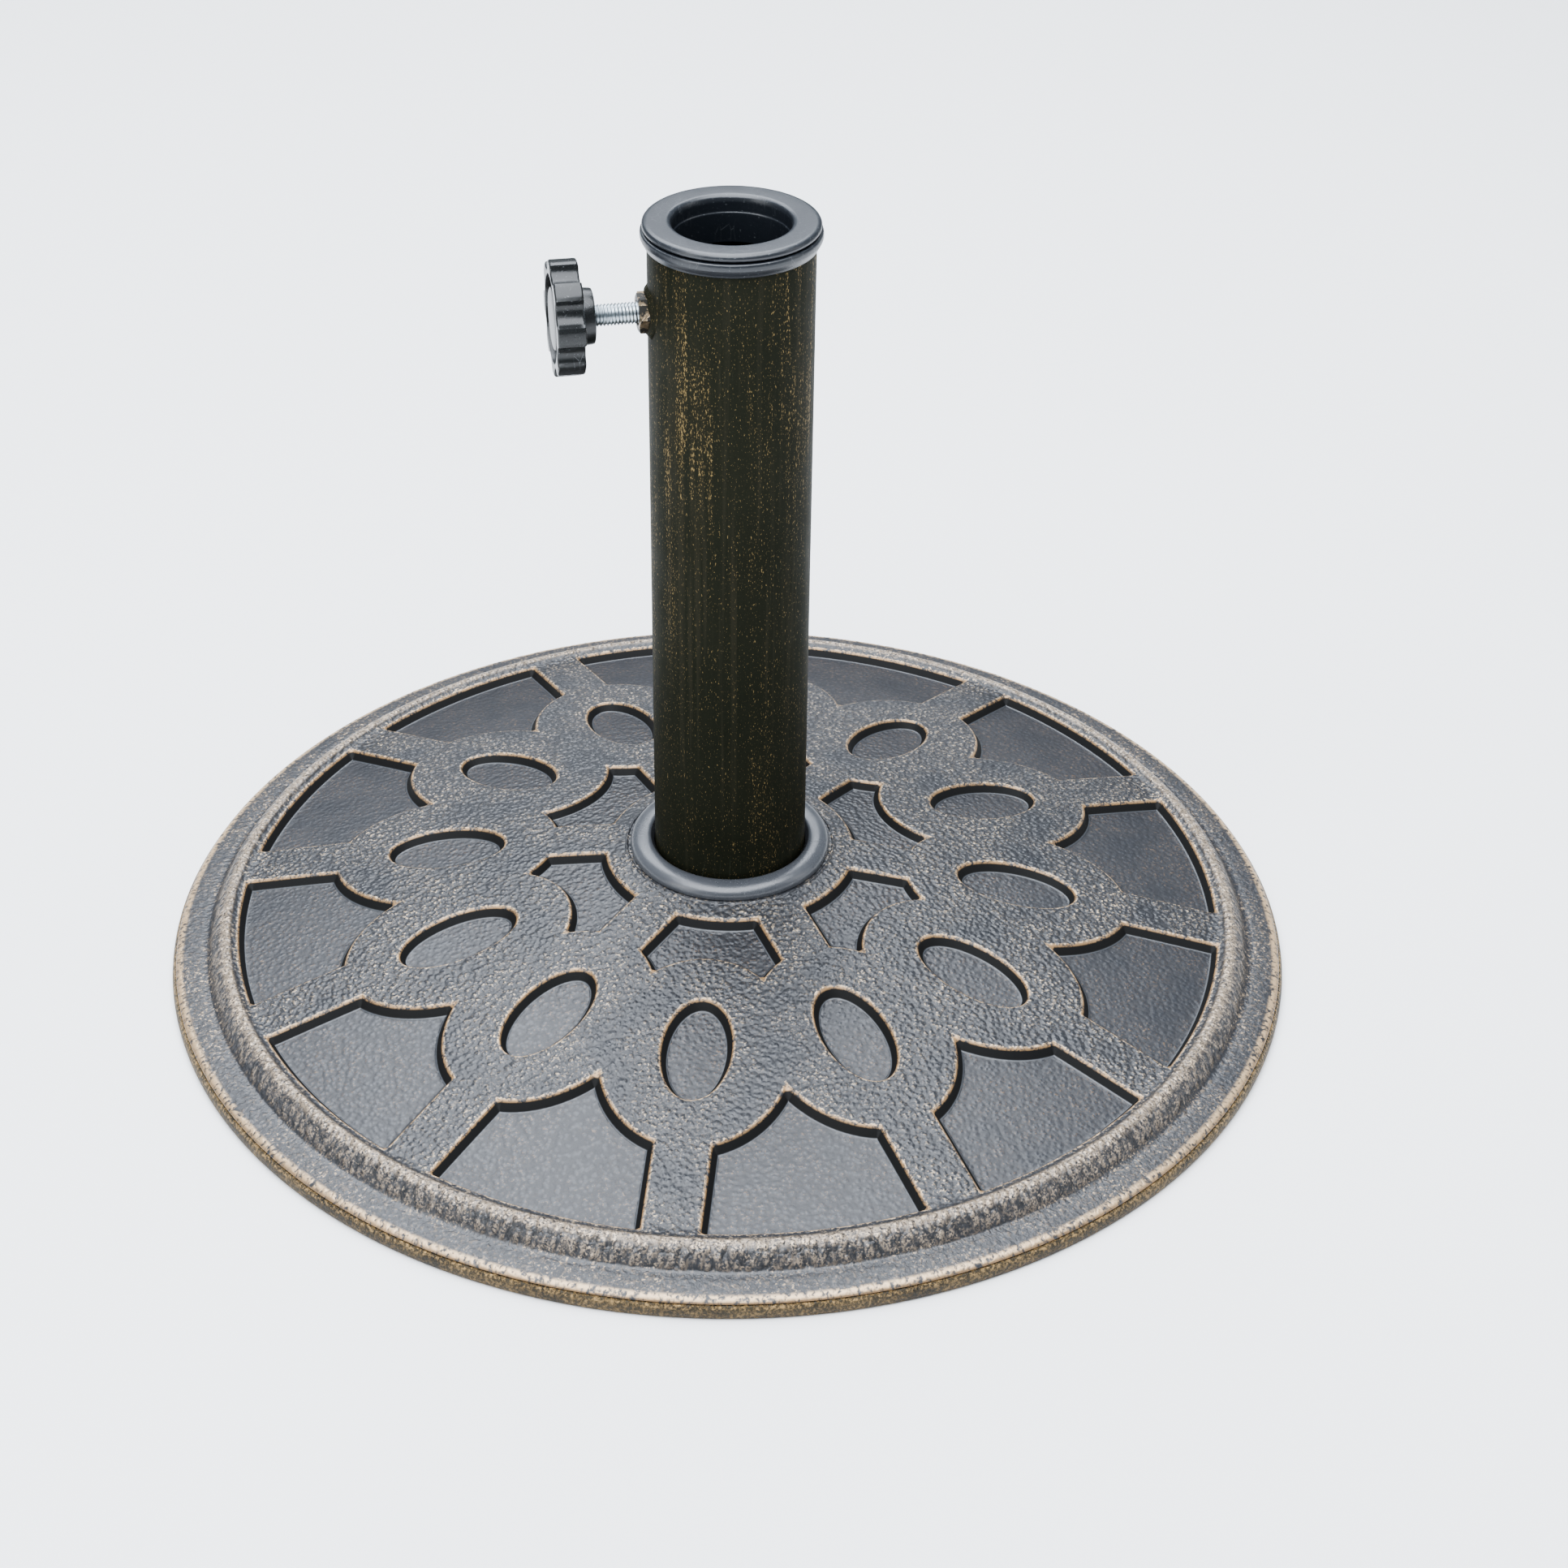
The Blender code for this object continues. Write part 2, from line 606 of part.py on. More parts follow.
def star_knob(parts, cutters, material):
    """Star knob with a boss towards the tube, a hexagon pocket and a recessed outer face."""
    body_low = KNOB_BODY_FACE - KNOB_BOSS_FACE
    body_high = KNOB_OUTER_FACE - KNOB_BOSS_FACE
    knob = plate("star_knob", [lobe_outline()], body_low, body_high, parts, material)
    bevel = knob.modifiers.new("edges", "BEVEL")
    bevel.width = 0.0006
    bevel.segments = 1
    bevel.limit_method = "ANGLE"
    bevel.angle_limit = math.radians(60.0)
    along_screw(knob, KNOB_BOSS_FACE)
    boss_profile = [
        (0.0, body_low + 0.0010), (KNOB_BOSS_RADIUS + 0.0004, body_low + 0.0010),
        (KNOB_BOSS_RADIUS, 0.0008), (KNOB_BOSS_RADIUS - 0.0008, 0.0), (0.0, 0.0),
    ]
    boss = turned("knob_boss", boss_profile, cutters, None, 24)
    along_screw(as_cutter(boss), KNOB_BOSS_FACE)
    boolean(knob, boss, "UNION")
    recess_floor = body_high - KNOB_RECESS_DEPTH
    recess = cylinder("knob_recess", KNOB_RECESS_RADIUS, recess_floor, body_high + 0.0020,
                      cutters, steps=32)
    along_screw(as_cutter(recess), KNOB_BOSS_FACE)
    boolean(knob, recess)
    pocket_floor = SCREW_HEAD_LOW - GAP - KNOB_BOSS_FACE
    pocket = plate("knob_pocket", [hexagon(NUT_FLATS + 2 * GAP)], pocket_floor, body_high, cutters)
    along_screw(as_cutter(pocket), KNOB_BOSS_FACE)
    boolean(knob, pocket)
    bore = cylinder("knob_bore", SCREW_RADIUS + GAP, -0.0020, body_low + 0.0050, cutters, steps=16)
    along_screw(as_cutter(bore), KNOB_BOSS_FACE)
    boolean(knob, bore)
    return knob


def knob_cap(parts, material):
    """Round cap over the screw's head."""
    low = KNOB_OUTER_FACE - KNOB_RECESS_DEPTH + GAP
    height = 0.0018
    profile = [
        (0.0, height), (KNOB_CAP_RADIUS - 0.0010, height - 0.0002), (KNOB_CAP_RADIUS, height - 0.0009),
        (KNOB_CAP_RADIUS, 0.0), (0.0, 0.0),
    ]
    cap = turned("knob_cap", profile, parts, material, 32)
    return along_screw(cap, low)


# ---------------------------------------------------------------- assembly
def build():
    """Build every piece."""
    clear_scene()
    parts = new_collection("parasol_base")
    cutters = new_collection("cutters")
    shell_skin = new_material("shell_skin", (0.062, 0.064, 0.070), 0.50, 0.15)
    pan_skin = new_material("pan_skin", (0.075, 0.060, 0.030), 0.55, 0.15)
    cement = new_material("cement", (0.300, 0.290, 0.270), 0.92)
    painted_steel = new_material("painted_steel", (0.020, 0.023, 0.015), 0.36, 0.30)
    plastic = new_material("satin_plastic", (0.035, 0.041, 0.047), 0.33)
    knob_plastic = new_material("knob_plastic", (0.030, 0.033, 0.034), 0.38)
    zinc = new_material("bright_zinc", (0.700, 0.720, 0.730), 0.28, 1.0)

    base_shell(parts, cutters, shell_skin)
    ballast_fill(parts, cement)
    base_pan(parts, cutters, pan_skin)
    for index in range(PAN_SCREW_COUNT):
        pan_screw(index, parts, zinc)
    hub_collar(parts, plastic)
    stand_tube(parts, cutters, painted_steel)
    tube_end_plate(parts, painted_steel)
    end_plate_nut(parts, zinc)
    anchor_fasteners(parts, cutters, zinc)
    tube_end_ring(parts, plastic)
    pole_reducer(parts, plastic)
    clamp_nut(parts, zinc)
    clamp_nut_weld(parts, cutters, painted_steel)
    clamp_screw(parts, cutters, zinc)
    star_knob(parts, cutters, knob_plastic)
    knob_cap(parts, knob_plastic)


build()
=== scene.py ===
import math
import bmesh
import bpy
import numpy as np
from mathutils import Matrix, Vector, noise
from mathutils.geometry import delaunay_2d_cdt


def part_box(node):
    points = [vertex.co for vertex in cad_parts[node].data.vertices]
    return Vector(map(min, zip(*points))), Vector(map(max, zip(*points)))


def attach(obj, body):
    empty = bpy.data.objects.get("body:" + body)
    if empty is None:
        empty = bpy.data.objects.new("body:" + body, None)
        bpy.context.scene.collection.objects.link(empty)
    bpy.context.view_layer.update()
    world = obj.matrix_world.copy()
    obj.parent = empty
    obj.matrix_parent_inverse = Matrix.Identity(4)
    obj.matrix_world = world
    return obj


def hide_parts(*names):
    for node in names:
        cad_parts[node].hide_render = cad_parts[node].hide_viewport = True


# Looks of a parasol base: a leather-grained disc with a petal pattern in low relief, an upright
# steel tube with a plastic end ring and pole reducer, and a star-knob clamp screw.

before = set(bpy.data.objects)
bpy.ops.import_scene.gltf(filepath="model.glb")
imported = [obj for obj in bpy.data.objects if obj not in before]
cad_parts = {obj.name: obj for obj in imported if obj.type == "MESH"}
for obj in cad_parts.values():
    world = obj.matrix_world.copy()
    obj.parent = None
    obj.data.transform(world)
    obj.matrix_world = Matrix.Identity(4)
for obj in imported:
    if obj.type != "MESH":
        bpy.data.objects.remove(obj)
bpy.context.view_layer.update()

MM = 0.001

# ---------------------------------------------------------------- the disc's relief
PETALS = 12
SECTOR = math.tau / PETALS
PETAL_PHASE = math.radians(13.7)
PETAL_CENTRE = 116.0 * MM
PETAL_AXES = (45.0 * MM, 36.0 * MM)
OVAL_AXES = (24.3 * MM, 13.7 * MM)
OUTER_SPOKE_HALF = 10.3 * MM
INNER_SPOKE_HALF = 9.8 * MM
HUB_RING = 49.5 * MM
BEAD_INNER = 198.3 * MM
HUB_SEAT = 42.0 * MM
SEAT_INNER = 30.6 * MM
LIP_RADIUS = 41.5 * MM
DOME_TOP = 0.0472
DOME_SLOPE = 0.107
DOME_CURVE = 0.28
# Levels of the windows' edge: distance into the window, and how far the surface has dropped there.
EDGE_REACH = [-1.0 * MM, -0.55 * MM, -0.2 * MM, 0.12 * MM, 2.35 * MM, 2.65 * MM, 3.05 * MM]
EDGE_DROP = [0.0, 0.05 * MM, 0.17 * MM, 0.42 * MM, 3.5 * MM, 3.76 * MM, 3.85 * MM]
CORE_LOW = 43.2 * MM         # the patterned part of the disc lies between these two circles
CORE_HIGH = 200.0 * MM
OUTLINE_STEP = 0.8 * MM
FILL_STEP = 2.2 * MM         # spacing of the mesh's points on flat ground
FILL_CLEARANCE = 0.8 * MM    # how far those points stay from every outline
SNAP = 2e-5                  # points closer than this are merged, or put on a sector's edge
ON_LINE = 1e-6               # how close to a line counts as on it
RIM_STEPS = 1800
HUB_STEPS = 288


def ellipse_distance(x, y, axes):
    """Signed distance to an ellipse centred on the origin: negative inside."""
    a, b = axes
    px = np.abs(x)
    py = np.abs(y)
    start = 0.7071               # 45 degrees
    tx = np.full_like(px, start)
    ty = np.full_like(px, start)
    for _ in range(7):
        ex = (a * a - b * b) * tx ** 3 / a
        ey = (b * b - a * a) * ty ** 3 / b
        reach = np.hypot(a * tx - ex, b * ty - ey)
        away = np.maximum(np.hypot(px - ex, py - ey), 1e-12)
        tx = np.clip(((px - ex) * reach / away + ex) / a, 0.0, 1.0)
        ty = np.clip(((py - ey) * reach / away + ey) / b, 0.0, 1.0)
        length = np.hypot(tx, ty)
        tx = tx / length
        ty = ty / length
    gap = np.hypot(px - a * tx, py - b * ty)
    inside = (px / a) ** 2 + (py / b) ** 2 < 1.0
    return np.where(inside, -gap, gap)


def relief_distance(x, y):
    """Distance into the nearest window: positive in a window, negative on the raised face."""
    radius = np.hypot(x, y)
    turn = np.arctan2(y, x)
    folded = np.abs((turn + SECTOR) % (2 * SECTOR) - SECTOR)
    raised = np.minimum(radius - HUB_RING, BEAD_INNER - radius)
    oval = np.full_like(radius, 1.0)
    for axis in (0.0, SECTOR):
        along = radius * np.cos(folded - axis)
        across = radius * np.sin(folded - axis)
        raised = np.minimum(raised, ellipse_distance(along - PETAL_CENTRE, across, PETAL_AXES))
        spoke = np.maximum(np.abs(across) - OUTER_SPOKE_HALF, PETAL_CENTRE - along)
        raised = np.minimum(raised, spoke)
        oval = np.minimum(oval, ellipse_distance(along - PETAL_CENTRE, across, OVAL_AXES))
    spoke = np.maximum(np.abs(across) - INNER_SPOKE_HALF, along - PETAL_CENTRE)
    raised = np.minimum(raised, spoke)
    return np.maximum(raised, -oval)


def smooth_step(low, high, value):
    """Smooth rise from 0 to 1 between two values."""
    t = np.clip((value - low) / (high - low), 0.0, 1.0)
    return t * t * (3.0 - 2.0 * t)


def face_height(radius):
    """Height of the disc's raised face, out to the bead's crest."""
    dome = DOME_TOP - DOME_SLOPE * radius - DOME_CURVE * radius * radius
    seat = 0.5 * MM * smooth_step(HUB_RING, HUB_SEAT, radius)
    bead_foot = 0.5 * MM * smooth_step(0.1955, BEAD_INNER, radius)
    bead = 1.5 * MM * smooth_step(0.1982, 0.2026, radius)
    return dome + seat + (bead_foot + bead)


def relief_height(x, y):
    """Height of the disc's patterned surface."""
    drop = np.interp(relief_distance(x, y), EDGE_REACH, EDGE_DROP)
    return face_height(np.hypot(x, y)) - drop


def rotated(x, y, angle):
    """Points turned about the origin."""
    cos = math.cos(angle)
    sin = math.sin(angle)
    return x * cos - y * sin, x * sin + y * cos


def pattern_coords(x, y):
    """The pattern's own coordinates of points of the disc."""
    return rotated(x, y, -PETAL_PHASE)


def ellipse_curve(axis, axes, offset):
    """Parallel curve of a petal's or an oval's outline, as a function of 0 to 1."""
    a, b = axes

    def point(s):
        t = s * math.tau
        nx = np.cos(t) / a
        ny = np.sin(t) / b
        length = np.hypot(nx, ny)
        x = PETAL_CENTRE + a * np.cos(t) + offset * nx / length
        y = b * np.sin(t) + offset * ny / length
        return rotated(x, y, axis)

    return point, math.pi * (a + b)


def circle_curve(radius):
    """One sector's arc of a circle about the disc's axis, as a function of 0 to 1."""
    def point(s):
        return radius * np.cos(s * SECTOR), radius * np.sin(s * SECTOR)

    return point, radius * SECTOR


def line_curve(axis, side, low, high):
    """Line along a spoke's edge, as a function of 0 to 1."""
    def point(s):
        x = low + s * (high - low)
        return rotated(x, np.full_like(x, side), axis)

    return point, high - low


def level_curves(level):
    """Every curve that carries part of one level of the windows' edges."""
    curves = [circle_curve(HUB_RING + level), circle_curve(BEAD_INNER - level)]
    for axis in (0.0, SECTOR):
        curves.append(ellipse_curve(axis, PETAL_AXES, level))
        curves.append(ellipse_curve(axis, OVAL_AXES, -level))
        for sign in (-1.0, 1.0):
            side = sign * (OUTER_SPOKE_HALF + level)
            curves.append(line_curve(axis, side, PETAL_CENTRE, BEAD_INNER))
    for sign in (-1.0, 1.0):
        side = sign * (INNER_SPOKE_HALF + level)
        curves.append(line_curve(SECTOR, side, HUB_RING - 3 * MM, PETAL_CENTRE))
    return curves


def on_level(x, y, level):
    """Whether points lie in the first sector and on that level."""
    turn = np.arctan2(y, x)
    inside = (turn > -1e-9) & (turn < SECTOR + 1e-9)
    return inside & (np.abs(relief_distance(x, y) - level) < 2e-6)


def curve_runs(curve, length, level):
    """The stretches of a curve that lie on a level, each ended exactly where it leaves it."""
    count = max(8, int(math.ceil(length / OUTLINE_STEP)))
    s = np.linspace(0.0, 1.0, count + 1)
    kept = on_level(*curve(s), level)
    runs = []
    for i in range(count + 1):
        if not kept[i]:
            continue
        if i == 0 or not kept[i - 1]:
            runs.append([])
            if i > 0:
                runs[-1].append(leaving_point(curve, s[i], s[i - 1], level))
        runs[-1].append(s[i])
        if i < count and not kept[i + 1]:
            runs[-1].append(leaving_point(curve, s[i], s[i + 1], level))
    return [np.array(run) for run in runs]


def leaving_point(curve, on, off, level):
    """Where a curve leaves a level, between a value on it and one off it."""
    for _ in range(24):
        middle = (on + off) / 2
        x, y = curve(np.array([middle]))
        if on_level(x, y, level)[0]:
            on = middle
        else:
            off = middle
    return on


def sector_mesh():
    """Points and triangles of one twelfth of the patterned face, seen from above."""
    points = []
    edges = []

    def add_run(x, y):
        turn = np.arctan2(y, x)
        radius = np.hypot(x, y)
        turn = np.where(np.abs(turn) < SNAP, 0.0, turn)
        turn = np.where(np.abs(turn - SECTOR) < SNAP, SECTOR, turn)
        start = len(points)
        points.extend(zip(radius * np.cos(turn), radius * np.sin(turn)))
        edges.extend((start + i, start + i + 1) for i in range(len(x) - 1))

    for level in EDGE_REACH:
        for curve, length in level_curves(level):
            for run in curve_runs(curve, length, level):
                if len(run) > 1:
                    add_run(*curve(run))
    for radius, steps in ((CORE_LOW, HUB_STEPS // PETALS), (CORE_HIGH, RIM_STEPS // PETALS)):
        turn = np.linspace(0.0, SECTOR, steps + 1)
        add_run(radius * np.cos(turn), radius * np.sin(turn))
    placed = np.array(points)
    reach = np.hypot(placed[:, 0], placed[:, 1])
    turn = np.arctan2(placed[:, 1], placed[:, 0])
    for axis in (0.0, SECTOR):
        crossings = reach[np.abs(turn - axis) < ON_LINE]
        steps = int((CORE_HIGH - CORE_LOW) / FILL_STEP)
        spread = np.linspace(CORE_LOW, CORE_HIGH, steps + 1)
        nearest = np.abs(spread[:, None] - crossings[None, :]).min(1)
        line = np.sort(np.concatenate([crossings, spread[nearest > 0.4 * FILL_STEP]]))
        line = line[np.concatenate([[True], np.diff(line) > 3e-5])]
        add_run(line * math.cos(axis), line * math.sin(axis))
    row_step = FILL_STEP * 0.866
    grid_x, grid_y = np.meshgrid(np.arange(0.036, 0.2, FILL_STEP), np.arange(0.0, 0.11, row_step))
    grid_x = grid_x + (np.round(grid_y / row_step) % 2) * FILL_STEP / 2
    x = grid_x.ravel()
    y = grid_y.ravel()
    radius = np.hypot(x, y)
    turn = np.arctan2(y, x)
    into = relief_distance(x, y)
    free = (radius > CORE_LOW + FILL_CLEARANCE) & (radius < CORE_HIGH - FILL_CLEARANCE)
    free &= (turn * radius > FILL_CLEARANCE) & ((SECTOR - turn) * radius > FILL_CLEARANCE)
    free &= (into < EDGE_REACH[0] - FILL_CLEARANCE) | (into > EDGE_REACH[-1] + FILL_CLEARANCE)
    points.extend(zip(x[free], y[free]))
    found = delaunay_2d_cdt([Vector(p) for p in points], edges, [], 0, SNAP)
    flat = np.array([(v.x, v.y) for v in found[0]])
    triangles = np.array([f for f in found[2] if len(f) == 3])
    middle = np.hypot(*flat[triangles].mean(1).T)
    past_arc = middle < CORE_LOW * math.cos(SECTOR / (HUB_STEPS // PETALS))
    off_axis = np.abs(flat[:, 1] * math.cos(SECTOR) - flat[:, 0] * math.sin(SECTOR))
    sliver = (off_axis[triangles] < ON_LINE).all(1)
    return flat, triangles[~(past_arc | sliver)]


def core_mesh():
    """Points and triangles of the whole patterned face: the sector, mirrored and turned."""
    flat, triangles = sector_mesh()
    points = []
    faces = []
    for k in range(PETALS):
        turn = PETAL_PHASE + SECTOR * (k + k % 2)
        side = -1.0 if k % 2 else 1.0
        points.append(np.stack(rotated(flat[:, 0], flat[:, 1] * side, turn), 1))
        order = triangles if side > 0 else triangles[:, ::-1]
        faces.append(order + k * len(flat))
    return np.concatenate(points), np.concatenate(faces)


def around_z(radius, height, turn):
    """Points at a distance from Z and at a height, one for each angle."""
    return np.stack([radius * np.cos(turn), radius * np.sin(turn), height + 0.0 * turn], 1)


def grid_faces(rows, steps, closed=True):
    """Quads between rings of points; closed joins the last ring to the first."""
    faces = []
    for row in range(rows if closed else rows - 1):
        after = (row + 1) % rows
        for i in range(steps):
            j = (i + 1) % steps
            faces.append([row * steps + i, row * steps + j, after * steps + j, after * steps + i])
    return faces


def ring_mesh(profile, steps, lift):
    """Points and faces of a surface turned from a (radius, height) profile, then lifted."""
    turn = PETAL_PHASE + np.arange(steps) * math.tau / steps
    points = lift(np.concatenate([around_z(radius, height, turn) for radius, height in profile]))
    return points, np.array(grid_faces(len(profile), steps, closed=False))[:, [0, 3, 2, 1]]


def soften(profile, step, passes):
    """Even out the spacing of a profile's points and round its corners."""
    profile = np.array(profile, float)
    along = np.concatenate([[0.0], np.cumsum(np.hypot(*np.diff(profile, axis=0).T))])
    count = int(round(along[-1] / step))
    spots = np.linspace(0.0, along[-1], count + 1)
    even = np.stack([np.interp(spots, along, profile[:, i]) for i in (0, 1)], 1)
    for _ in range(passes):
        even[1:-1] = (even[:-2] + 2.0 * even[1:-1] + even[2:]) / 4.0
    return even


def coarse_grain(points):
    """Raise the bead's and the rim's coarse leather grain."""
    lifted = points.copy()
    radius = np.hypot(points[:, 0], points[:, 1])
    bead = smooth_step(0.2003, 0.2025, radius) * (1.0 - smooth_step(0.2090, 0.2104, radius))
    rim = smooth_step(0.2132, 0.2142, radius) * (1.0 - smooth_step(0.2225, 0.2230, radius))
    cells = (66.0, 330.0)        # scales about so many to a radian, and to a metre outwards
    wrinkles = (190.0, 700.0)
    for i in np.nonzero((bead > 0.01) | (rim > 0.01))[0]:
        x, y = points[i, :2] / radius[i]
        near, next_near = noise.voronoi(Vector((x * cells[0], y * cells[0], radius[i] * cells[1])))[0][:2]
        raised = min(0.55, next_near - near) - 0.25
        fine = noise.noise(Vector((x * wrinkles[0], y * wrinkles[0], radius[i] * wrinkles[1])))
        lifted[i, 2] += (bead[i] * (0.22 * raised + 0.12 * fine) + 0.14 * rim[i] * fine) * MM
    return lifted


def casting_lip(points):
    """Raise the thin, uneven lip of moulding flash around the collar's seat."""
    lifted = points.copy()
    radius = np.hypot(points[:, 0], points[:, 1])
    shape = np.exp(-((radius - LIP_RADIUS) / (0.35 * MM)) ** 2)
    waves = 160.0
    for i in np.nonzero(shape > 0.02)[0]:
        spot = Vector((points[i, 0] * waves, points[i, 1] * waves, 0.0))
        lifted[i, 2] += shape[i] * (0.55 + 0.5 * noise.noise(spot)) * MM
    return lifted


# ---------------------------------------------------------------- meshes
CREASE = 35.0                # degrees between two faces that meet in a crisp edge


def smooth(mesh, sharp):
    """Shade a mesh smooth; edges where faces meet at more than sharp degrees stay crisp."""
    mesh.polygons.foreach_set("use_smooth", [True] * len(mesh.polygons))
    mesh.update()
    if sharp < 180.0:
        mesh.set_sharp_from_angle(angle=math.radians(sharp))


def add_mesh(name, points, faces, material, body, sharp):
    """Make a mesh object that rides on a body."""
    mesh = bpy.data.meshes.new(name)
    mesh.from_pydata(np.asarray(points).tolist(), [], [list(map(int, f)) for f in faces])
    mesh.materials.append(material)
    smooth(mesh, sharp)
    obj = bpy.data.objects.new(name, mesh)
    bpy.context.scene.collection.objects.link(obj)
    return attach(obj, body)


def fillet(profile, size, steps):
    """Round a closed profile's corners; size is how far each rounding reaches along both sides."""
    points = [np.array(p, float) for p in profile]
    count = len(points)
    out = []
    for i in range(count):
        here = points[i]
        before = points[i - 1] - here
        after = points[(i + 1) % count] - here
        start = here + before * min(0.45, size / np.hypot(*before))
        end = here + after * min(0.45, size / np.hypot(*after))
        for k in range(steps + 1):
            t = k / steps
            out.append((1 - t) ** 2 * start + 2 * t * (1 - t) * here + t * t * end)
    return out


def turned_mesh(profile, steps, closed=True):
    """Points and faces of a profile turned about Z; a point on the axis becomes one vertex."""
    points = []
    rows = []
    turn = np.arange(steps) * math.tau / steps
    for radius, height in profile:
        if radius < 1e-7:
            rows.append([len(points)] * steps)
            points.append((0.0, 0.0, height))
        else:
            rows.append(list(range(len(points), len(points) + steps)))
            points.extend(zip(radius * np.cos(turn), radius * np.sin(turn), [height] * steps))
    pairs = list(zip(rows, rows[1:]))
    if closed:
        pairs.append((rows[-1], rows[0]))
    faces = []
    for low, high in pairs:
        for i in range(steps):
            j = (i + 1) % steps
            corners = [low[i], low[j], high[j], high[i]]
            kept = [c for k, c in enumerate(corners) if c != corners[k - 1]]
            if len(kept) > 2:
                faces.append(kept)
    return np.array(points, float), faces


def add_solid(name, points, faces, material, body, sharp):
    """Make a mesh object whose faces all look outwards."""
    obj = add_mesh(name, points, faces, material, body, sharp)
    tidy_normals(obj)
    return obj


def turned(name, profile, steps, material, body, place=None, closed=True, sharp=CREASE):
    """Make a turned object; place moves its points to where the object stands."""
    points, faces = turned_mesh(profile, steps, closed)
    if place is not None:
        points = place(points)
    return add_solid(name, points, faces, material, body, sharp)


def tidy_normals(obj):
    """Make a mesh's faces all look outwards."""
    edit = bmesh.new()
    edit.from_mesh(obj.data)
    bmesh.ops.recalc_face_normals(edit, faces=edit.faces)
    edit.to_mesh(obj.data)
    edit.free()


def cut(obj, tool_points, tool_faces):
    """Cut a tool's shape out of an object for good."""
    mesh = bpy.data.meshes.new("tool")
    mesh.from_pydata(np.asarray(tool_points).tolist(), [], tool_faces)
    tool = bpy.data.objects.new("tool", mesh)
    bpy.context.scene.collection.objects.link(tool)
    tidy_normals(tool)
    modifier = obj.modifiers.new("cut", "BOOLEAN")
    modifier.operation = "DIFFERENCE"
    modifier.solver = "EXACT"
    modifier.object = tool
    bpy.context.view_layer.update()
    graph = bpy.context.evaluated_depsgraph_get()
    result = bpy.data.meshes.new_from_object(obj.evaluated_get(graph))
    obj.modifiers.clear()
    obj.data = result
    bpy.data.objects.remove(tool)
    smooth(result, CREASE)


# ---------------------------------------------------------------- materials
class Value:
    """A node's output that can be added, subtracted and multiplied."""

    def __init__(self, look, socket):
        self.look = look
        self.socket = socket

    def __add__(self, other):
        return self.look.math("ADD", self, other)

    def __radd__(self, other):
        return self.look.math("ADD", other, self)

    def __sub__(self, other):
        return self.look.math("SUBTRACT", self, other)

    def __rsub__(self, other):
        return self.look.math("SUBTRACT", other, self)

    def __mul__(self, other):
        return self.look.math("MULTIPLY", self, other)


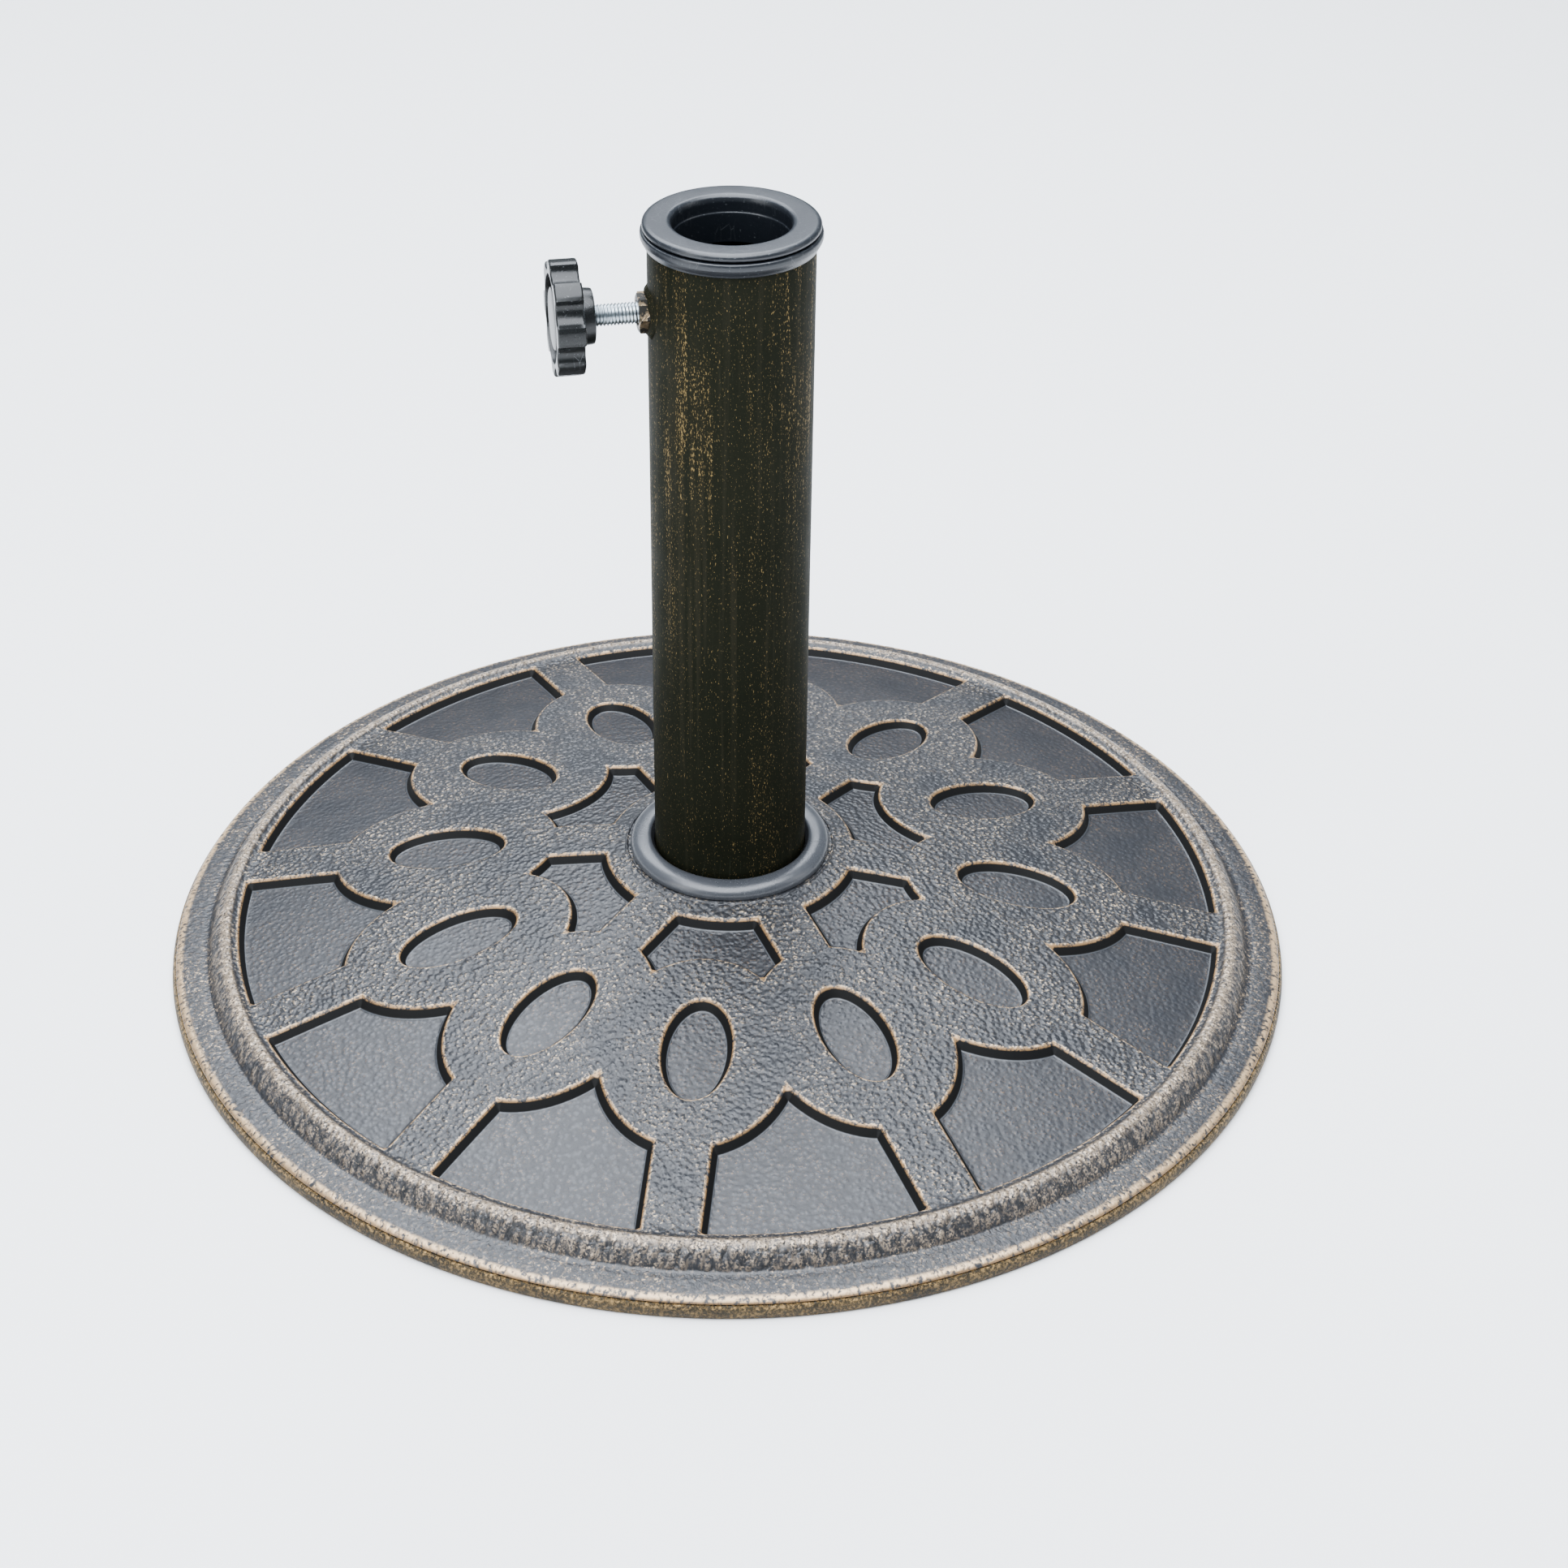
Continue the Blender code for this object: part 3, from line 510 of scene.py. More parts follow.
class Look:
    """A material and short names for the nodes that it is made from."""

    def __init__(self, name):
        self.material = bpy.data.materials.new(name)
        self.material.use_nodes = True
        self.tree = self.material.node_tree
        self.shader = self.tree.nodes["Principled BSDF"]
        self.place = self.node("ShaderNodeTexCoord", {}, "Object")

    def node(self, kind, inputs, output=0, **settings):
        """Add a node, feed its inputs and give back one of its outputs."""
        made = self.tree.nodes.new(kind)
        for key, value in settings.items():
            setattr(made, key, value)
        for key, value in inputs.items():
            self.feed(made.inputs[key], value)
        return Value(self, made.outputs[output])

    def feed(self, socket, value):
        """Link a value to a socket, or set the socket to a number, place or colour."""
        if isinstance(value, Value):
            self.tree.links.new(value.socket, socket)
        elif isinstance(value, tuple) and len(value) == 3 and len(socket.default_value) == 4:
            socket.default_value = (*value, 1.0)
        else:
            socket.default_value = value

    def set(self, **inputs):
        """Feed the shader's inputs."""
        for key, value in inputs.items():
            self.feed(self.shader.inputs[key.replace("_", " ").title().replace("Ior", "IOR")], value)

    def math(self, operation, a, b=0.0, clamp=False):
        return self.node("ShaderNodeMath", {0: a, 1: b}, operation=operation, use_clamp=clamp)

    def most(self, *values):
        """The greatest of several values."""
        top = values[0]
        for value in values[1:]:
            top = self.math("MAXIMUM", top, value)
        return top

    def between(self, value, low, high, start=0.0, end=1.0):
        """Smooth rise from start to end while value goes from low to high."""
        inputs = {0: value, 1: low, 2: high, 3: start, 4: end}
        return self.node("ShaderNodeMapRange", inputs, interpolation_type="SMOOTHSTEP")

    def fall(self, value, low, high):
        """Smooth fall from 1 to 0 while value goes from low to high."""
        return self.between(value, low, high, 1.0, 0.0)

    def band(self, value, low, high, blur):
        """1 between low and high, falling to 0 over blur on either side."""
        return self.between(value, low - blur, low + blur) * self.fall(value, high - blur, high + blur)

    def stretch(self, place, x, y, z):
        return self.node("ShaderNodeMapping", {"Vector": place, "Scale": (x, y, z)})

    def noise(self, place, scale, detail=2.0, roughness=0.5, distortion=0.0):
        """Cloudy noise; scale is about how many of its spots fit in a metre."""
        inputs = {"Vector": place, "Scale": scale, "Detail": detail}
        inputs.update({"Roughness": roughness, "Distortion": distortion})
        return self.node("ShaderNodeTexNoise", inputs)

    def cells(self, place, scale, feature="F1", **inputs):
        """Distance to the middle or edge of scattered cells; scale is how many fit in a metre."""
        inputs.update({"Vector": place, "Scale": scale})
        return self.node("ShaderNodeTexVoronoi", inputs, "Distance", feature=feature)

    def scratches(self, place, scale, width):
        """Fine lines along the edges of cells."""
        return self.fall(self.cells(place, scale, "DISTANCE_TO_EDGE"), 0.0, width)

    def mix(self, share, a, b):
        """Colour a turning into colour b."""
        return self.node("ShaderNodeMix", {0: share, 6: a, 7: b}, 2, data_type="RGBA")

    def blend(self, share, a, b):
        """Number a turning into number b."""
        return self.node("ShaderNodeMix", {0: share, 2: a, 3: b}, data_type="FLOAT")

    def bump(self, height, reach):
        """A surface's normal, tilted by a height that is measured in reach."""
        return self.node("ShaderNodeBump", {"Strength": 1.0, "Distance": reach, "Height": height})

    def axes(self, place):
        """The x, y and z of a point."""
        made = self.tree.nodes.new("ShaderNodeSeparateXYZ")
        self.feed(made.inputs[0], place)
        return [Value(self, socket) for socket in made.outputs]

    def radius(self, place):
        """Distance from the Z axis."""
        x, y, _ = self.axes(place)
        return self.math("SQRT", x * x + y * y)

    def joined(self, x, y, z):
        return self.node("ShaderNodeCombineXYZ", {0: x, 1: y, 2: z})

    def around(self, place, reach):
        """A place with its distance from the Z axis set to reach, and that distance kept as Z."""
        x, y, _ = self.axes(place)
        radius = self.radius(place)
        scale = self.math("DIVIDE", reach, radius)
        return self.joined(x * scale, y * scale, radius)


COPPER = (0.52, 0.32, 0.15)
# The cream tone of the edges' bronze on the face side, a painted highlight.
PALE_COPPER_HIGHLIGHT = (0.82, 0.65, 0.45)
CHARCOAL = (0.024, 0.026, 0.031)


def shell_look():
    """Charcoal leather-grained skin with bronze dry brush on edges and grain, plus painted highlights and
    shade.
    """
    # Masks made from into, the distance into a window, tell the raised face, the walls and the
    # windows' floors apart. Masks made from radius are rings about the Z axis.
    look = Look("shell_paint")
    place = look.place
    into = look.node("ShaderNodeAttribute", {}, "Fac", attribute_name="into_window")
    radius = look.radius(place)
    polar = look.around(place, 200.0 * MM)

    wander = look.noise(place, 45.0, 3.0)
    pebble = look.cells(place, 500.0, "SMOOTH_F1", Smoothness=0.5)
    crease = look.noise(look.stretch(place, 1.0, 1.0, 0.4), 520.0, 2.0, 0.5, 0.4)
    speckle = look.noise(place, 1250.0, 2.0)
    fine = crease * 0.5 - pebble
    coarse_cells = look.cells(look.stretch(polar, 1.0, 1.0, 0.8), 440.0, "SMOOTH_F1", Smoothness=0.15)
    coarse_waves = look.noise(place, 330.0, 2.0, 0.5, 0.8)
    scales = 0.55 + coarse_waves * 0.6 - coarse_cells
    rim_grain = look.noise(look.stretch(polar, 1.0, 1.0, 0.8), 700.0, 2.0, 0.5, 0.3)

    face = look.fall(into, -0.15 * MM, 0.15 * MM)
    wall = look.band(into, 0.45 * MM, 2.45 * MM, 0.20 * MM)
    foot = look.band(into, 2.55 * MM, 2.85 * MM, 0.10 * MM)
    floor = look.between(into, 2.9 * MM, 3.2 * MM)
    shade = floor * look.fall(into, 3.1 * MM, 7.5 * MM)
    bead = look.band(radius, 201.2 * MM, 209.8 * MM, 1.0 * MM)
    bead_flank = look.band(radius, 198.4 * MM, 200.4 * MM, 0.8 * MM)
    crest = look.band(radius, 200.0 * MM, 205.0 * MM, 1.4 * MM)
    rim_edge = look.band(radius, 220.5 * MM, 224.0 * MM, 0.9 * MM)
    groove = look.band(radius, 210.6 * MM, 213.5 * MM, 0.5 * MM)
    outer = look.between(radius, 199.0 * MM, 201.5 * MM)
    near_hub = look.fall(radius, 75.0 * MM, 135.0 * MM)

    # The dry brush catches the grain's peaks and, most of all, the edges; the cream fringe on the edges
    # is also painted highlight of their rounded tops.
    peak = look.between(fine, -0.30, -0.02)
    edge_near = look.between(into, -1.7 * MM, -0.15 * MM)
    ragged = crease * 1.5 + speckle * 1.3
    broken = edge_near + (ragged - 1.4)
    brushed_edge_and_highlight = look.between(broken, 0.68, 1.12) * look.fall(into, 0.25 * MM, 0.75 * MM)
    speck = look.between(speckle, 0.54, 0.66) * look.between(wander, 0.34, 0.58)
    # Bronze on the bead's grain peaks, strongest on the crest: partly dry brush, partly painted highlight
    # of the rounded crest.
    bead_peak = look.between(scales, 0.20, 0.55) * look.between(speckle, 0.38, 0.60)
    bead_peak = bead * bead_peak * look.math("ADD", 0.46, crest, clamp=True)
    rim_speck = outer * look.between(rim_grain, 0.56, 0.7)
    rim_brush = rim_edge * look.between(rim_grain, 0.34, 0.54)
    crest_brush_and_highlight = bead * crest * look.between(speckle, 0.30, 0.56)
    speck_share = face * 0.40 + floor * 0.18
    # Cream dabs on the tops of the face's grain: partly dry brush, partly painted highlight of the
    # grain's tops.
    peak_dab_and_highlight = look.between(fine, -0.06, 0.08) * look.between(wander, 0.30, 0.75)
    peak_dab_and_highlight = peak_dab_and_highlight * look.between(speckle, 0.42, 0.60)
    gold = look.most(brushed_edge_and_highlight * 0.66, bead_peak * 0.72, crest_brush_and_highlight * 0.38, rim_brush * 0.85,
                     rim_speck * 0.12, speck * speck_share * (0.3 + peak), face * peak_dab_and_highlight * 0.74)

    base = look.mix(wander, CHARCOAL, (0.036, 0.039, 0.046))
    # Darker away from the grain's peaks: painted shade in the grain's pits.
    base = look.mix((1.0 - peak) * 0.5, base, (0.010, 0.010, 0.012))
    # Darker in the low spots between the bead's grain cells: painted shade in the grooves.
    base = look.mix(bead * look.between(scales, 0.26, 0.08) * 0.6, base, (0.008, 0.008, 0.009))
    base = look.mix(shade * look.between(crease, 0.35, 0.65) * 0.5, base, (0.022, 0.023, 0.026))
    # The walls are painted darker: painted shade for the dark surroundings they reflect.
    base = look.mix(wall, base, (0.011, 0.011, 0.011))
    # A paler line at the walls' feet: painted highlight in the fillet where wall meets floor.
    base = look.mix(foot * 0.22, base, (0.17, 0.19, 0.21))
    # The edges' bronze is cream on the face side and brown where it turns down into the wall: painted
    # highlight and painted shade on the dry brush of bronze.
    copper = look.mix(look.between(into, -0.9 * MM, 0.2 * MM), PALE_COPPER_HIGHLIGHT, COPPER)
    copper = look.mix(outer * 0.7, copper, look.mix(speckle, COPPER, (0.72, 0.54, 0.34)))
    # The bead's bronze is paler: painted highlight on its rounded crest.
    copper = look.mix(bead * 0.8, copper, (0.80, 0.64, 0.47))
    # Darker brown on the rim edge's outer side, where it turns down: painted shade.
    copper = look.mix(look.between(radius, 221.8 * MM, 223.6 * MM), copper, (0.24, 0.145, 0.065))

    satin = 0.29 + wander * 0.12 + (1.0 - peak) * 0.10
    satin = look.blend(wall, satin, 0.55)
    satin = look.blend(bead_flank, satin, 0.50)
    satin = look.blend(groove, satin, 0.32)

    depth = face + floor * (0.32 + near_hub * 0.50)
    depth = depth * look.math("SUBTRACT", 1.0, outer, clamp=True)
    flat_grain = rim_grain * outer * (1.0 - bead) * 0.55
    grain = fine * depth + scales * bead * 1.5 + flat_grain
    look.set(base_color=look.mix(gold, base, copper), metallic=gold * 0.5,
             roughness=look.blend(gold, satin, 0.36), specular_ior_level=look.blend(wall, 0.80, 0.15),
             normal=look.bump(grain, 0.62 * MM))
    return look.material


def pan_look():
    """Olive-brown bronze paint with a fine speckle."""
    look = Look("pan_paint")
    place = look.place
    blotch = look.noise(place, 60.0, 4.0, 0.6)
    speck = look.between(look.noise(place, 850.0, 4.0, 0.7), 0.42, 0.64)
    edge = look.band(look.axes(place)[2], 4.2 * MM, 6.2 * MM, 0.5 * MM)
    base = look.mix(look.between(blotch, 0.35, 0.65), (0.014, 0.011, 0.005), (0.045, 0.033, 0.014))
    worn = 0.35 + look.between(blotch, 0.38, 0.62) * 0.65
    gold = look.most(speck * worn * 0.5, edge * speck * 0.8)
    look.set(base_color=look.mix(gold, base, (0.50, 0.34, 0.16)), metallic=gold * 0.7,
             roughness=0.42 + blotch * 0.2,
             normal=look.bump(look.noise(place, 420.0, 3.0) + speck, 0.35 * MM))
    return look.material


def tube_look():
    """Olive-black paint with upright streaks of gold speckle, drips and fine scratches."""
    look = Look("tube_paint")
    place = look.place
    x, y, _ = look.axes(look.around(place, 30.0 * MM))
    z = look.axes(place)[2]
    spread = look.joined(x, y, z)
    streak = look.noise(look.stretch(spread, 1.0, 1.0, 0.05), 190.0, 4.0, 0.7)
    patch = look.noise(look.stretch(spread, 1.0, 1.0, 0.30), 30.0, 2.0)
    speck = look.noise(look.stretch(spread, 1.0, 1.0, 0.38), 2200.0, 2.0, 0.6)
    high = look.between(z, 120.0 * MM, 270.0 * MM)
    amount = look.between(streak, 0.42, 0.66) * look.between(patch, 0.34, 0.60) * (0.3 + high * 0.7)
    gold = look.between(speck + amount * 0.16, 0.63, 0.74)
    drip_spots = look.noise(look.stretch(spread, 1.0, 1.0, 0.35), 105.0, 1.0)
    drips = look.between(drip_spots, 0.745, 0.76) * look.fall(z, 50.0 * MM, 65.0 * MM)
    scratch = look.scratches(look.stretch(spread, 1.0, 1.0, 0.12), 210.0, 0.010)
    scratch = scratch * look.between(look.noise(spread, 40.0, 3.0), 0.58, 0.68)
    grey_streak = look.between(look.noise(look.stretch(spread, 1.0, 1.0, 0.02), 420.0, 2.0), 0.50, 0.72)
    base = look.mix(look.noise(spread, 22.0, 3.0), (0.011, 0.013, 0.008), (0.023, 0.024, 0.016))
    base = look.mix(grey_streak * 0.35, base, (0.045, 0.040, 0.027))
    base = look.mix(amount * 0.22, base, (0.050, 0.040, 0.022))
    base = look.mix(scratch * 0.35, base, (0.10, 0.11, 0.08))
    gold = look.most(gold * 0.48, drips)
    rough = 0.46 + look.noise(spread, 70.0, 3.0) * 0.18
    ripple = look.noise(look.stretch(spread, 1.0, 1.0, 0.5), 160.0, 3.0)
    look.set(base_color=look.mix(gold, base, (0.46, 0.33, 0.15)), metallic=gold * 0.6,
             roughness=look.blend(gold, rough, 0.48), specular_ior_level=0.05,
             normal=look.bump(ripple + speck * 0.35, 0.05 * MM))
    return look.material


def plastic_look(name, dark, light, sheen, scuffs=0.25, shine=0.62):
    """Satin moulded plastic with faint mottling, dust and scuffs; sheen is its lowest roughness."""
    look = Look(name)
    place = look.place
    cloud = look.noise(place, 55.0, 4.0, 0.6)
    dust = look.between(look.noise(place, 1300.0, 2.0), 0.66, 0.76)
    scuff = look.scratches(look.stretch(place, 1.0, 0.45, 0.2), 330.0, 0.014)
    scuff = scuff * look.between(look.noise(place, 70.0, 3.0), 0.55, 0.65)
    base = look.mix(cloud, dark, light)
    wear = look.most(dust * 0.3, scuff * scuffs)
    look.set(base_color=look.mix(wear, base, (0.32, 0.34, 0.35)), specular_ior_level=shine,
             roughness=sheen + cloud * 0.12 + wear * 0.2,
             normal=look.bump(look.noise(place, 1100.0, 3.0, 0.6), 0.05 * MM))
    return look.material


def zinc_look(name, bare, paint, painted):
    """Zinc plate with a fine crystal grain; painted is how much dark paint is left on it."""
    look = Look(name)
    place = look.place
    grain = look.cells(place, 900.0)
    stain = look.noise(place, 190.0, 4.0, 0.65)
    base = look.mix(stain, tuple(c * 0.72 for c in bare), bare)
    cover = look.between(look.noise(place, 260.0, 4.0, 0.65, 0.4), 0.66 - painted, 0.74 - painted)
    look.set(base_color=look.mix(cover, base, paint), metallic=look.blend(cover, 1.0, 0.15),
             roughness=look.blend(cover, 0.20 + stain * 0.22, 0.42),
             normal=look.bump(cover + grain * 0.25, 0.06 * MM))
    return look.material


def cement_look():
    """Grey cement with sand grains and small voids."""
    look = Look("cement_fill")
    place = look.place
    sand = look.noise(place, 480.0, 4.0, 0.7)
    cloud = look.noise(place, 24.0, 3.0)
    void = look.fall(look.cells(place, 120.0), 0.10, 0.16)
    base = look.mix(cloud, (0.22, 0.215, 0.20), (0.36, 0.35, 0.32))
    base = look.mix(look.between(sand, 0.5, 0.7) * 0.5, base, (0.46, 0.44, 0.40))
    # The voids are painted darker: painted shade in the hollows.
    look.set(base_color=look.mix(void, base, (0.10, 0.095, 0.09)), roughness=0.82 + sand * 0.15,
             normal=look.bump(sand - void, 0.4 * MM))
    return look.material


# ---------------------------------------------------------------- the disc
PAN_SCREWS = 6


def rim_outline():
    """Radii and heights from the bead's crest over the rim's edge to its underside."""
    over = [
        (CORE_HIGH, face_height(CORE_HIGH)), (0.2012, 0.0162), (0.2025, 0.0165), (0.2040, 0.0161),
        (0.2055, 0.0152), (0.2070, 0.0138), (0.2083, 0.0119), (0.2094, 0.0098), (0.2103, 0.0085),
        (0.2130, 0.00825), (0.2134, 0.0084), (0.2180, 0.0080), (0.2205, 0.00765), (0.2218, 0.0073),
        (0.2228, 0.0067), (0.2233, 0.0061),
    ]
    under = [(0.2232, 0.00585), (0.2222, 0.00580), (0.2180, 0.00580)]
    return np.concatenate([soften(over, 0.55 * MM, 2), under])


def seat_outline():
    """Radii and heights from under the collar, over the lip, to the patterned face."""
    radii = [SEAT_INNER, 36 * MM, 39.5 * MM, 40.6 * MM]
    radii += [radius * MM for radius in np.arange(40.9, 42.4, 0.15)] + [42.7 * MM, CORE_LOW]
    return [(radius, face_height(max(radius, HUB_SEAT))) for radius in radii]


def build_shell(material):
    """The disc's skin: patterned face, bead, rim and the seat under the collar."""
    flat, triangles = core_mesh()
    x, y = pattern_coords(flat[:, 0], flat[:, 1])
    core = np.column_stack([flat, relief_height(x, y)])
    parts = [(core, triangles), ring_mesh(rim_outline(), RIM_STEPS, coarse_grain),
             ring_mesh(seat_outline(), HUB_STEPS, casting_lip)]
    points = np.concatenate([p for p, _ in parts])
    faces = []
    start = 0
    for piece, piece_faces in parts:
        faces.extend((piece_faces + start).tolist())
        start += len(piece)
    shell = add_mesh("moulded_shell", points, faces, material, "stand", 180.0)
    edit = bmesh.new()
    edit.from_mesh(shell.data)
    bmesh.ops.remove_doubles(edit, verts=edit.verts, dist=6e-6)
    edit.to_mesh(shell.data)
    edit.free()
    places = np.zeros(len(shell.data.vertices) * 3)
    shell.data.vertices.foreach_get("co", places)
    places = places.reshape(-1, 3)
    x, y = pattern_coords(places[:, 0], places[:, 1])
    into = shell.data.attributes.new("into_window", "FLOAT", "POINT")
    into.data.foreach_set("value", relief_distance(x, y).astype(np.float32))
    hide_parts("base_shell")
    return shell


def pan_screw(i):
    """A pan screw's name, its box, and how to bring points about Z to its place."""
    name = "pan_screw_%d" % (i + 1)
    low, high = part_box(name)
    centre = (low + high) / 2

    def place(points):
        return np.asarray(points) + np.array([centre.x, centre.y, 0.0])

    return name, low, high, place


def build_pan(material):
    """Bottom pan: the band that shows below the shell, the floor, the well and the screw seats."""
    pan_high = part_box("base_pan")[1]
    edge = pan_high.x
    top = 5.5 * MM
    sheet = 2.5 * MM
    well_top = pan_high.z - sheet
    well = 19.0 * MM
    hole = 5.6 * MM
    outer = [(edge - 3.4 * MM, top), (edge - 1.3 * MM, top), (edge - 0.35 * MM, 4.1 * MM),
             (edge, 2.3 * MM), (edge - 0.3 * MM, 0.7 * MM), (edge - 1.0 * MM, 0.0)]
    inner = [(well, 0.0), (well, well_top), (hole, well_top), (hole, pan_high.z),
             (well + sheet, pan_high.z), (well + sheet, sheet), (edge - 3.4 * MM, sheet)]
    profile = fillet(outer + inner, 0.45 * MM, 3)
    pan = turned("bottom_pan", profile, 540, material, "stand")
    for i in range(PAN_SCREWS):
        _, low, high, place = pan_screw(i)
        counterbore = (high.x - low.x) / 2 + 0.3 * MM
        seat = [(counterbore, -1.0 * MM), (counterbore, 1.4 * MM), (2.3 * MM, 1.4 * MM),
                (2.3 * MM, 4.0 * MM), (0.0, 4.0 * MM), (0.0, -1.0 * MM)]
        points, faces = turned_mesh(seat, 32)
        cut(pan, place(points), faces)
    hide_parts("base_pan")
    return pan


def cross_mesh(reach, half_width, low, high):
    """Points and faces of an upright cross between two heights."""
    outline = []
    for along, across in ((1, 0), (0, 1), (-1, 0), (0, -1)):
        for x, y in ((reach, -half_width), (reach, half_width), (half_width, half_width)):
            outline.append((x * along - y * across, x * across + y * along))
    points = [(x, y, z) for z in (low, high) for x, y in outline]
    count = len(outline)
    sides = [(k, (k + 1) % count, count + (k + 1) % count, count + k) for k in range(count)]
    return points, sides + [tuple(range(count)), tuple(range(count, 2 * count))]


def build_pan_screws(material):
    """Pan-head screws with a cross recess, sunk in the pan."""
    for i in range(PAN_SCREWS):
        name, low, high, place = pan_screw(i)
        reach = (high.x - low.x) / 2
        head = low.z + 0.9 * MM
        shank = 1.9 * MM
        profile = [(0.0, high.z), (1.0 * MM, high.z - 1.2 * MM), (shank, high.z - 2.6 * MM),
                   (shank, head), (reach, head), (reach, low.z + 0.45 * MM),
                   (reach * 0.8, low.z + 0.12 * MM), (reach * 0.4, low.z), (0.0, low.z)]
        screw = turned(name + "_finished", profile, 32, material, "stand", place, closed=False)
        points, faces = cross_mesh(reach * 0.55, reach * 0.13, low.z - MM, low.z + 0.65 * MM)
        cut(screw, place(points), faces)
        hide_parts(name)


# ---------------------------------------------------------------- the upright
def build_collar(material):
    """Rounded plastic collar around the tube's foot."""
    low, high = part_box("hub_collar")
    outer = high.x
    bore = 30.4 * MM
    lip = 31.5 * MM
    crest = 34.2 * MM
    profile = [(bore, low.z), (bore, high.z - 2.6 * MM), (lip, high.z - 1.4 * MM)]
    for i in range(10):
        angle = math.pi / 2 * i / 9
        reach = crest - (crest - lip) * math.cos(angle)
        profile.append((reach, high.z - 1.2 * MM * (1.0 - math.sin(angle))))
    for i in range(1, 19):
        angle = math.pi / 2 * i / 18
        reach = crest + (outer - crest) * math.sin(angle) ** 0.92
        profile.append((reach, low.z + 0.4 * MM + (high.z - low.z - 0.4 * MM) * math.cos(angle) ** 0.85))
    profile.append((outer, low.z))
    collar = turned("foot_collar", profile, 160, material, "stand", sharp=60.0)
    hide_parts("hub_collar")


def build_tube(material):
    """Painted steel tube, with the clamp screw's hole."""
    low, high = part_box("stand_tube")
    outer = high.x
    inner = outer - 1.5 * MM
    edge = 0.3 * MM
    profile = [(outer, low.z + edge)]
    profile += [(outer, low.z + (high.z - low.z) * t) for t in (0.25, 0.5, 0.75)]
    profile += [(outer, high.z - edge), (outer - edge, high.z), (inner + edge, high.z),
                (inner, high.z - edge), (inner, low.z + edge), (inner + edge, low.z),
                (outer - edge, low.z)]
    tube = turned("upright_tube", profile, 144, material, "stand")
    hole = [(4.75 * MM, 25.0 * MM), (4.75 * MM, 34.0 * MM), (0.0, 34.0 * MM), (0.0, 25.0 * MM)]
    points, faces = turned_mesh(hole, 40)
    cut(tube, along_screw(points, screw_height()), faces)
    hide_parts("stand_tube")


def build_end_ring(material):
    """Plastic ring over the tube's end, with a tapered skirt."""
    low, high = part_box("tube_end_ring")
    tube_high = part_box("stand_tube")[1]
    outer = high.x
    skirt = tube_high.x + 0.2 * MM
    shelf = tube_high.z + 0.2 * MM
    sleeve_outer = tube_high.x - 1.8 * MM
    sleeve_inner = 24.3 * MM
    foot = high.z - 5.6 * MM
    profile = [
        (outer - 0.9 * MM, high.z), (outer - 0.25 * MM, high.z - 0.3 * MM), (outer, high.z - 1.1 * MM),
        (outer, high.z - 2.5 * MM), (outer - 0.5 * MM, high.z - 3.6 * MM),
        (outer - 1.2 * MM, foot + 0.9 * MM), (outer - 1.5 * MM, foot), (skirt, foot), (skirt, shelf),
        (sleeve_outer, shelf), (sleeve_outer, low.z), (sleeve_inner + 1.0 * MM, low.z),
        (sleeve_inner, low.z + 1.0 * MM), (sleeve_inner, high.z),
    ]
    ring = turned("end_ring", fillet(profile, 0.35 * MM, 3), 160, material, "stand")
    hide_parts("tube_end_ring")


def build_reducer(material):
    """Pole reducer: flat flange with a rounded edge, rounded lip and a stepped bore."""
    low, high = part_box("pole_reducer")
    outer = high.x
    top = high.z
    flange_low = top - 3.0 * MM
    bore = 20.8 * MM
    sleeve = 24.0 * MM
    profile = [
        (outer - 1.7 * MM, top), (outer - 0.5 * MM, top - 0.45 * MM), (outer, top - 1.5 * MM),
        (outer - 0.25 * MM, flange_low + 0.5 * MM), (outer - 1.3 * MM, flange_low),
        (sleeve, flange_low), (sleeve, low.z), (bore, low.z), (bore, top - 6.5 * MM),
        (bore + 0.35 * MM, top - 6.1 * MM), (bore + 0.35 * MM, top - 2.3 * MM),
        (bore + 0.8 * MM, top - 0.7 * MM), (bore + 2.0 * MM, top),
    ]
    reducer = turned("pole_reducer_moulding", fillet(profile, 0.6 * MM, 5), 160, material, "reducer")
    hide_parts("pole_reducer")


# ---------------------------------------------------------------- the clamp
KNOB_LOBES = 8
KNOB_PHASE = math.radians(4.7)
M8_FLATS = 13.0 * MM         # width across an M8 nut's or head's flats
M10_FLATS = 16.0 * MM


def along_screw(points, height):
    """Lay points drawn about Z along the clamp screw's axis, which points along -X."""
    points = np.asarray(points, float)
    return np.stack([-points[:, 2], points[:, 1], points[:, 0] + height], 1)


def hexagon_radius(turn, flats):
    """Distance from a hexagon's centre to its outline in one direction."""
    part = (turn + math.pi / 6) % (math.pi / 3) - math.pi / 6
    return flats / 2 / np.cos(part)


def hexagon_mesh(flats, bore, low, high, chamfer_low=True):
    """Hexagon nut or head with chamfered corners; a bore of 0 makes it solid."""
    steps = 96
    turn = np.arange(steps) * math.tau / steps
    outline = hexagon_radius(turn, flats)
    circle = flats / 2 * 0.97
    drop = (outline - circle) * 0.55
    countersink = min(0.5 * MM, bore)
    rows = [(bore, low + countersink), (bore + countersink, low), (circle, low),
            (outline, low + drop if chamfer_low else low), (outline, high - drop), (circle, high),
            (bore + countersink, high), (bore, high - countersink)]
    points = [around_z(radius, height, turn) for radius, height in rows]
    return np.concatenate(points), grid_faces(len(rows), steps)


def screw_height():
    """Height of the clamp screw's axis."""
    low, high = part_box("clamp_nut")
    return (low.z + high.z) / 2


def build_clamp_nut(material):
    """Chamfered nut on the tube."""
    low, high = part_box("clamp_nut")
    points, faces = hexagon_mesh(M8_FLATS, 4.15 * MM, -high.x, -low.x, chamfer_low=False)
    nut = add_solid("tube_nut", along_screw(points, screw_height()), faces, material, "stand", 30.0)
    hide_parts("clamp_nut")


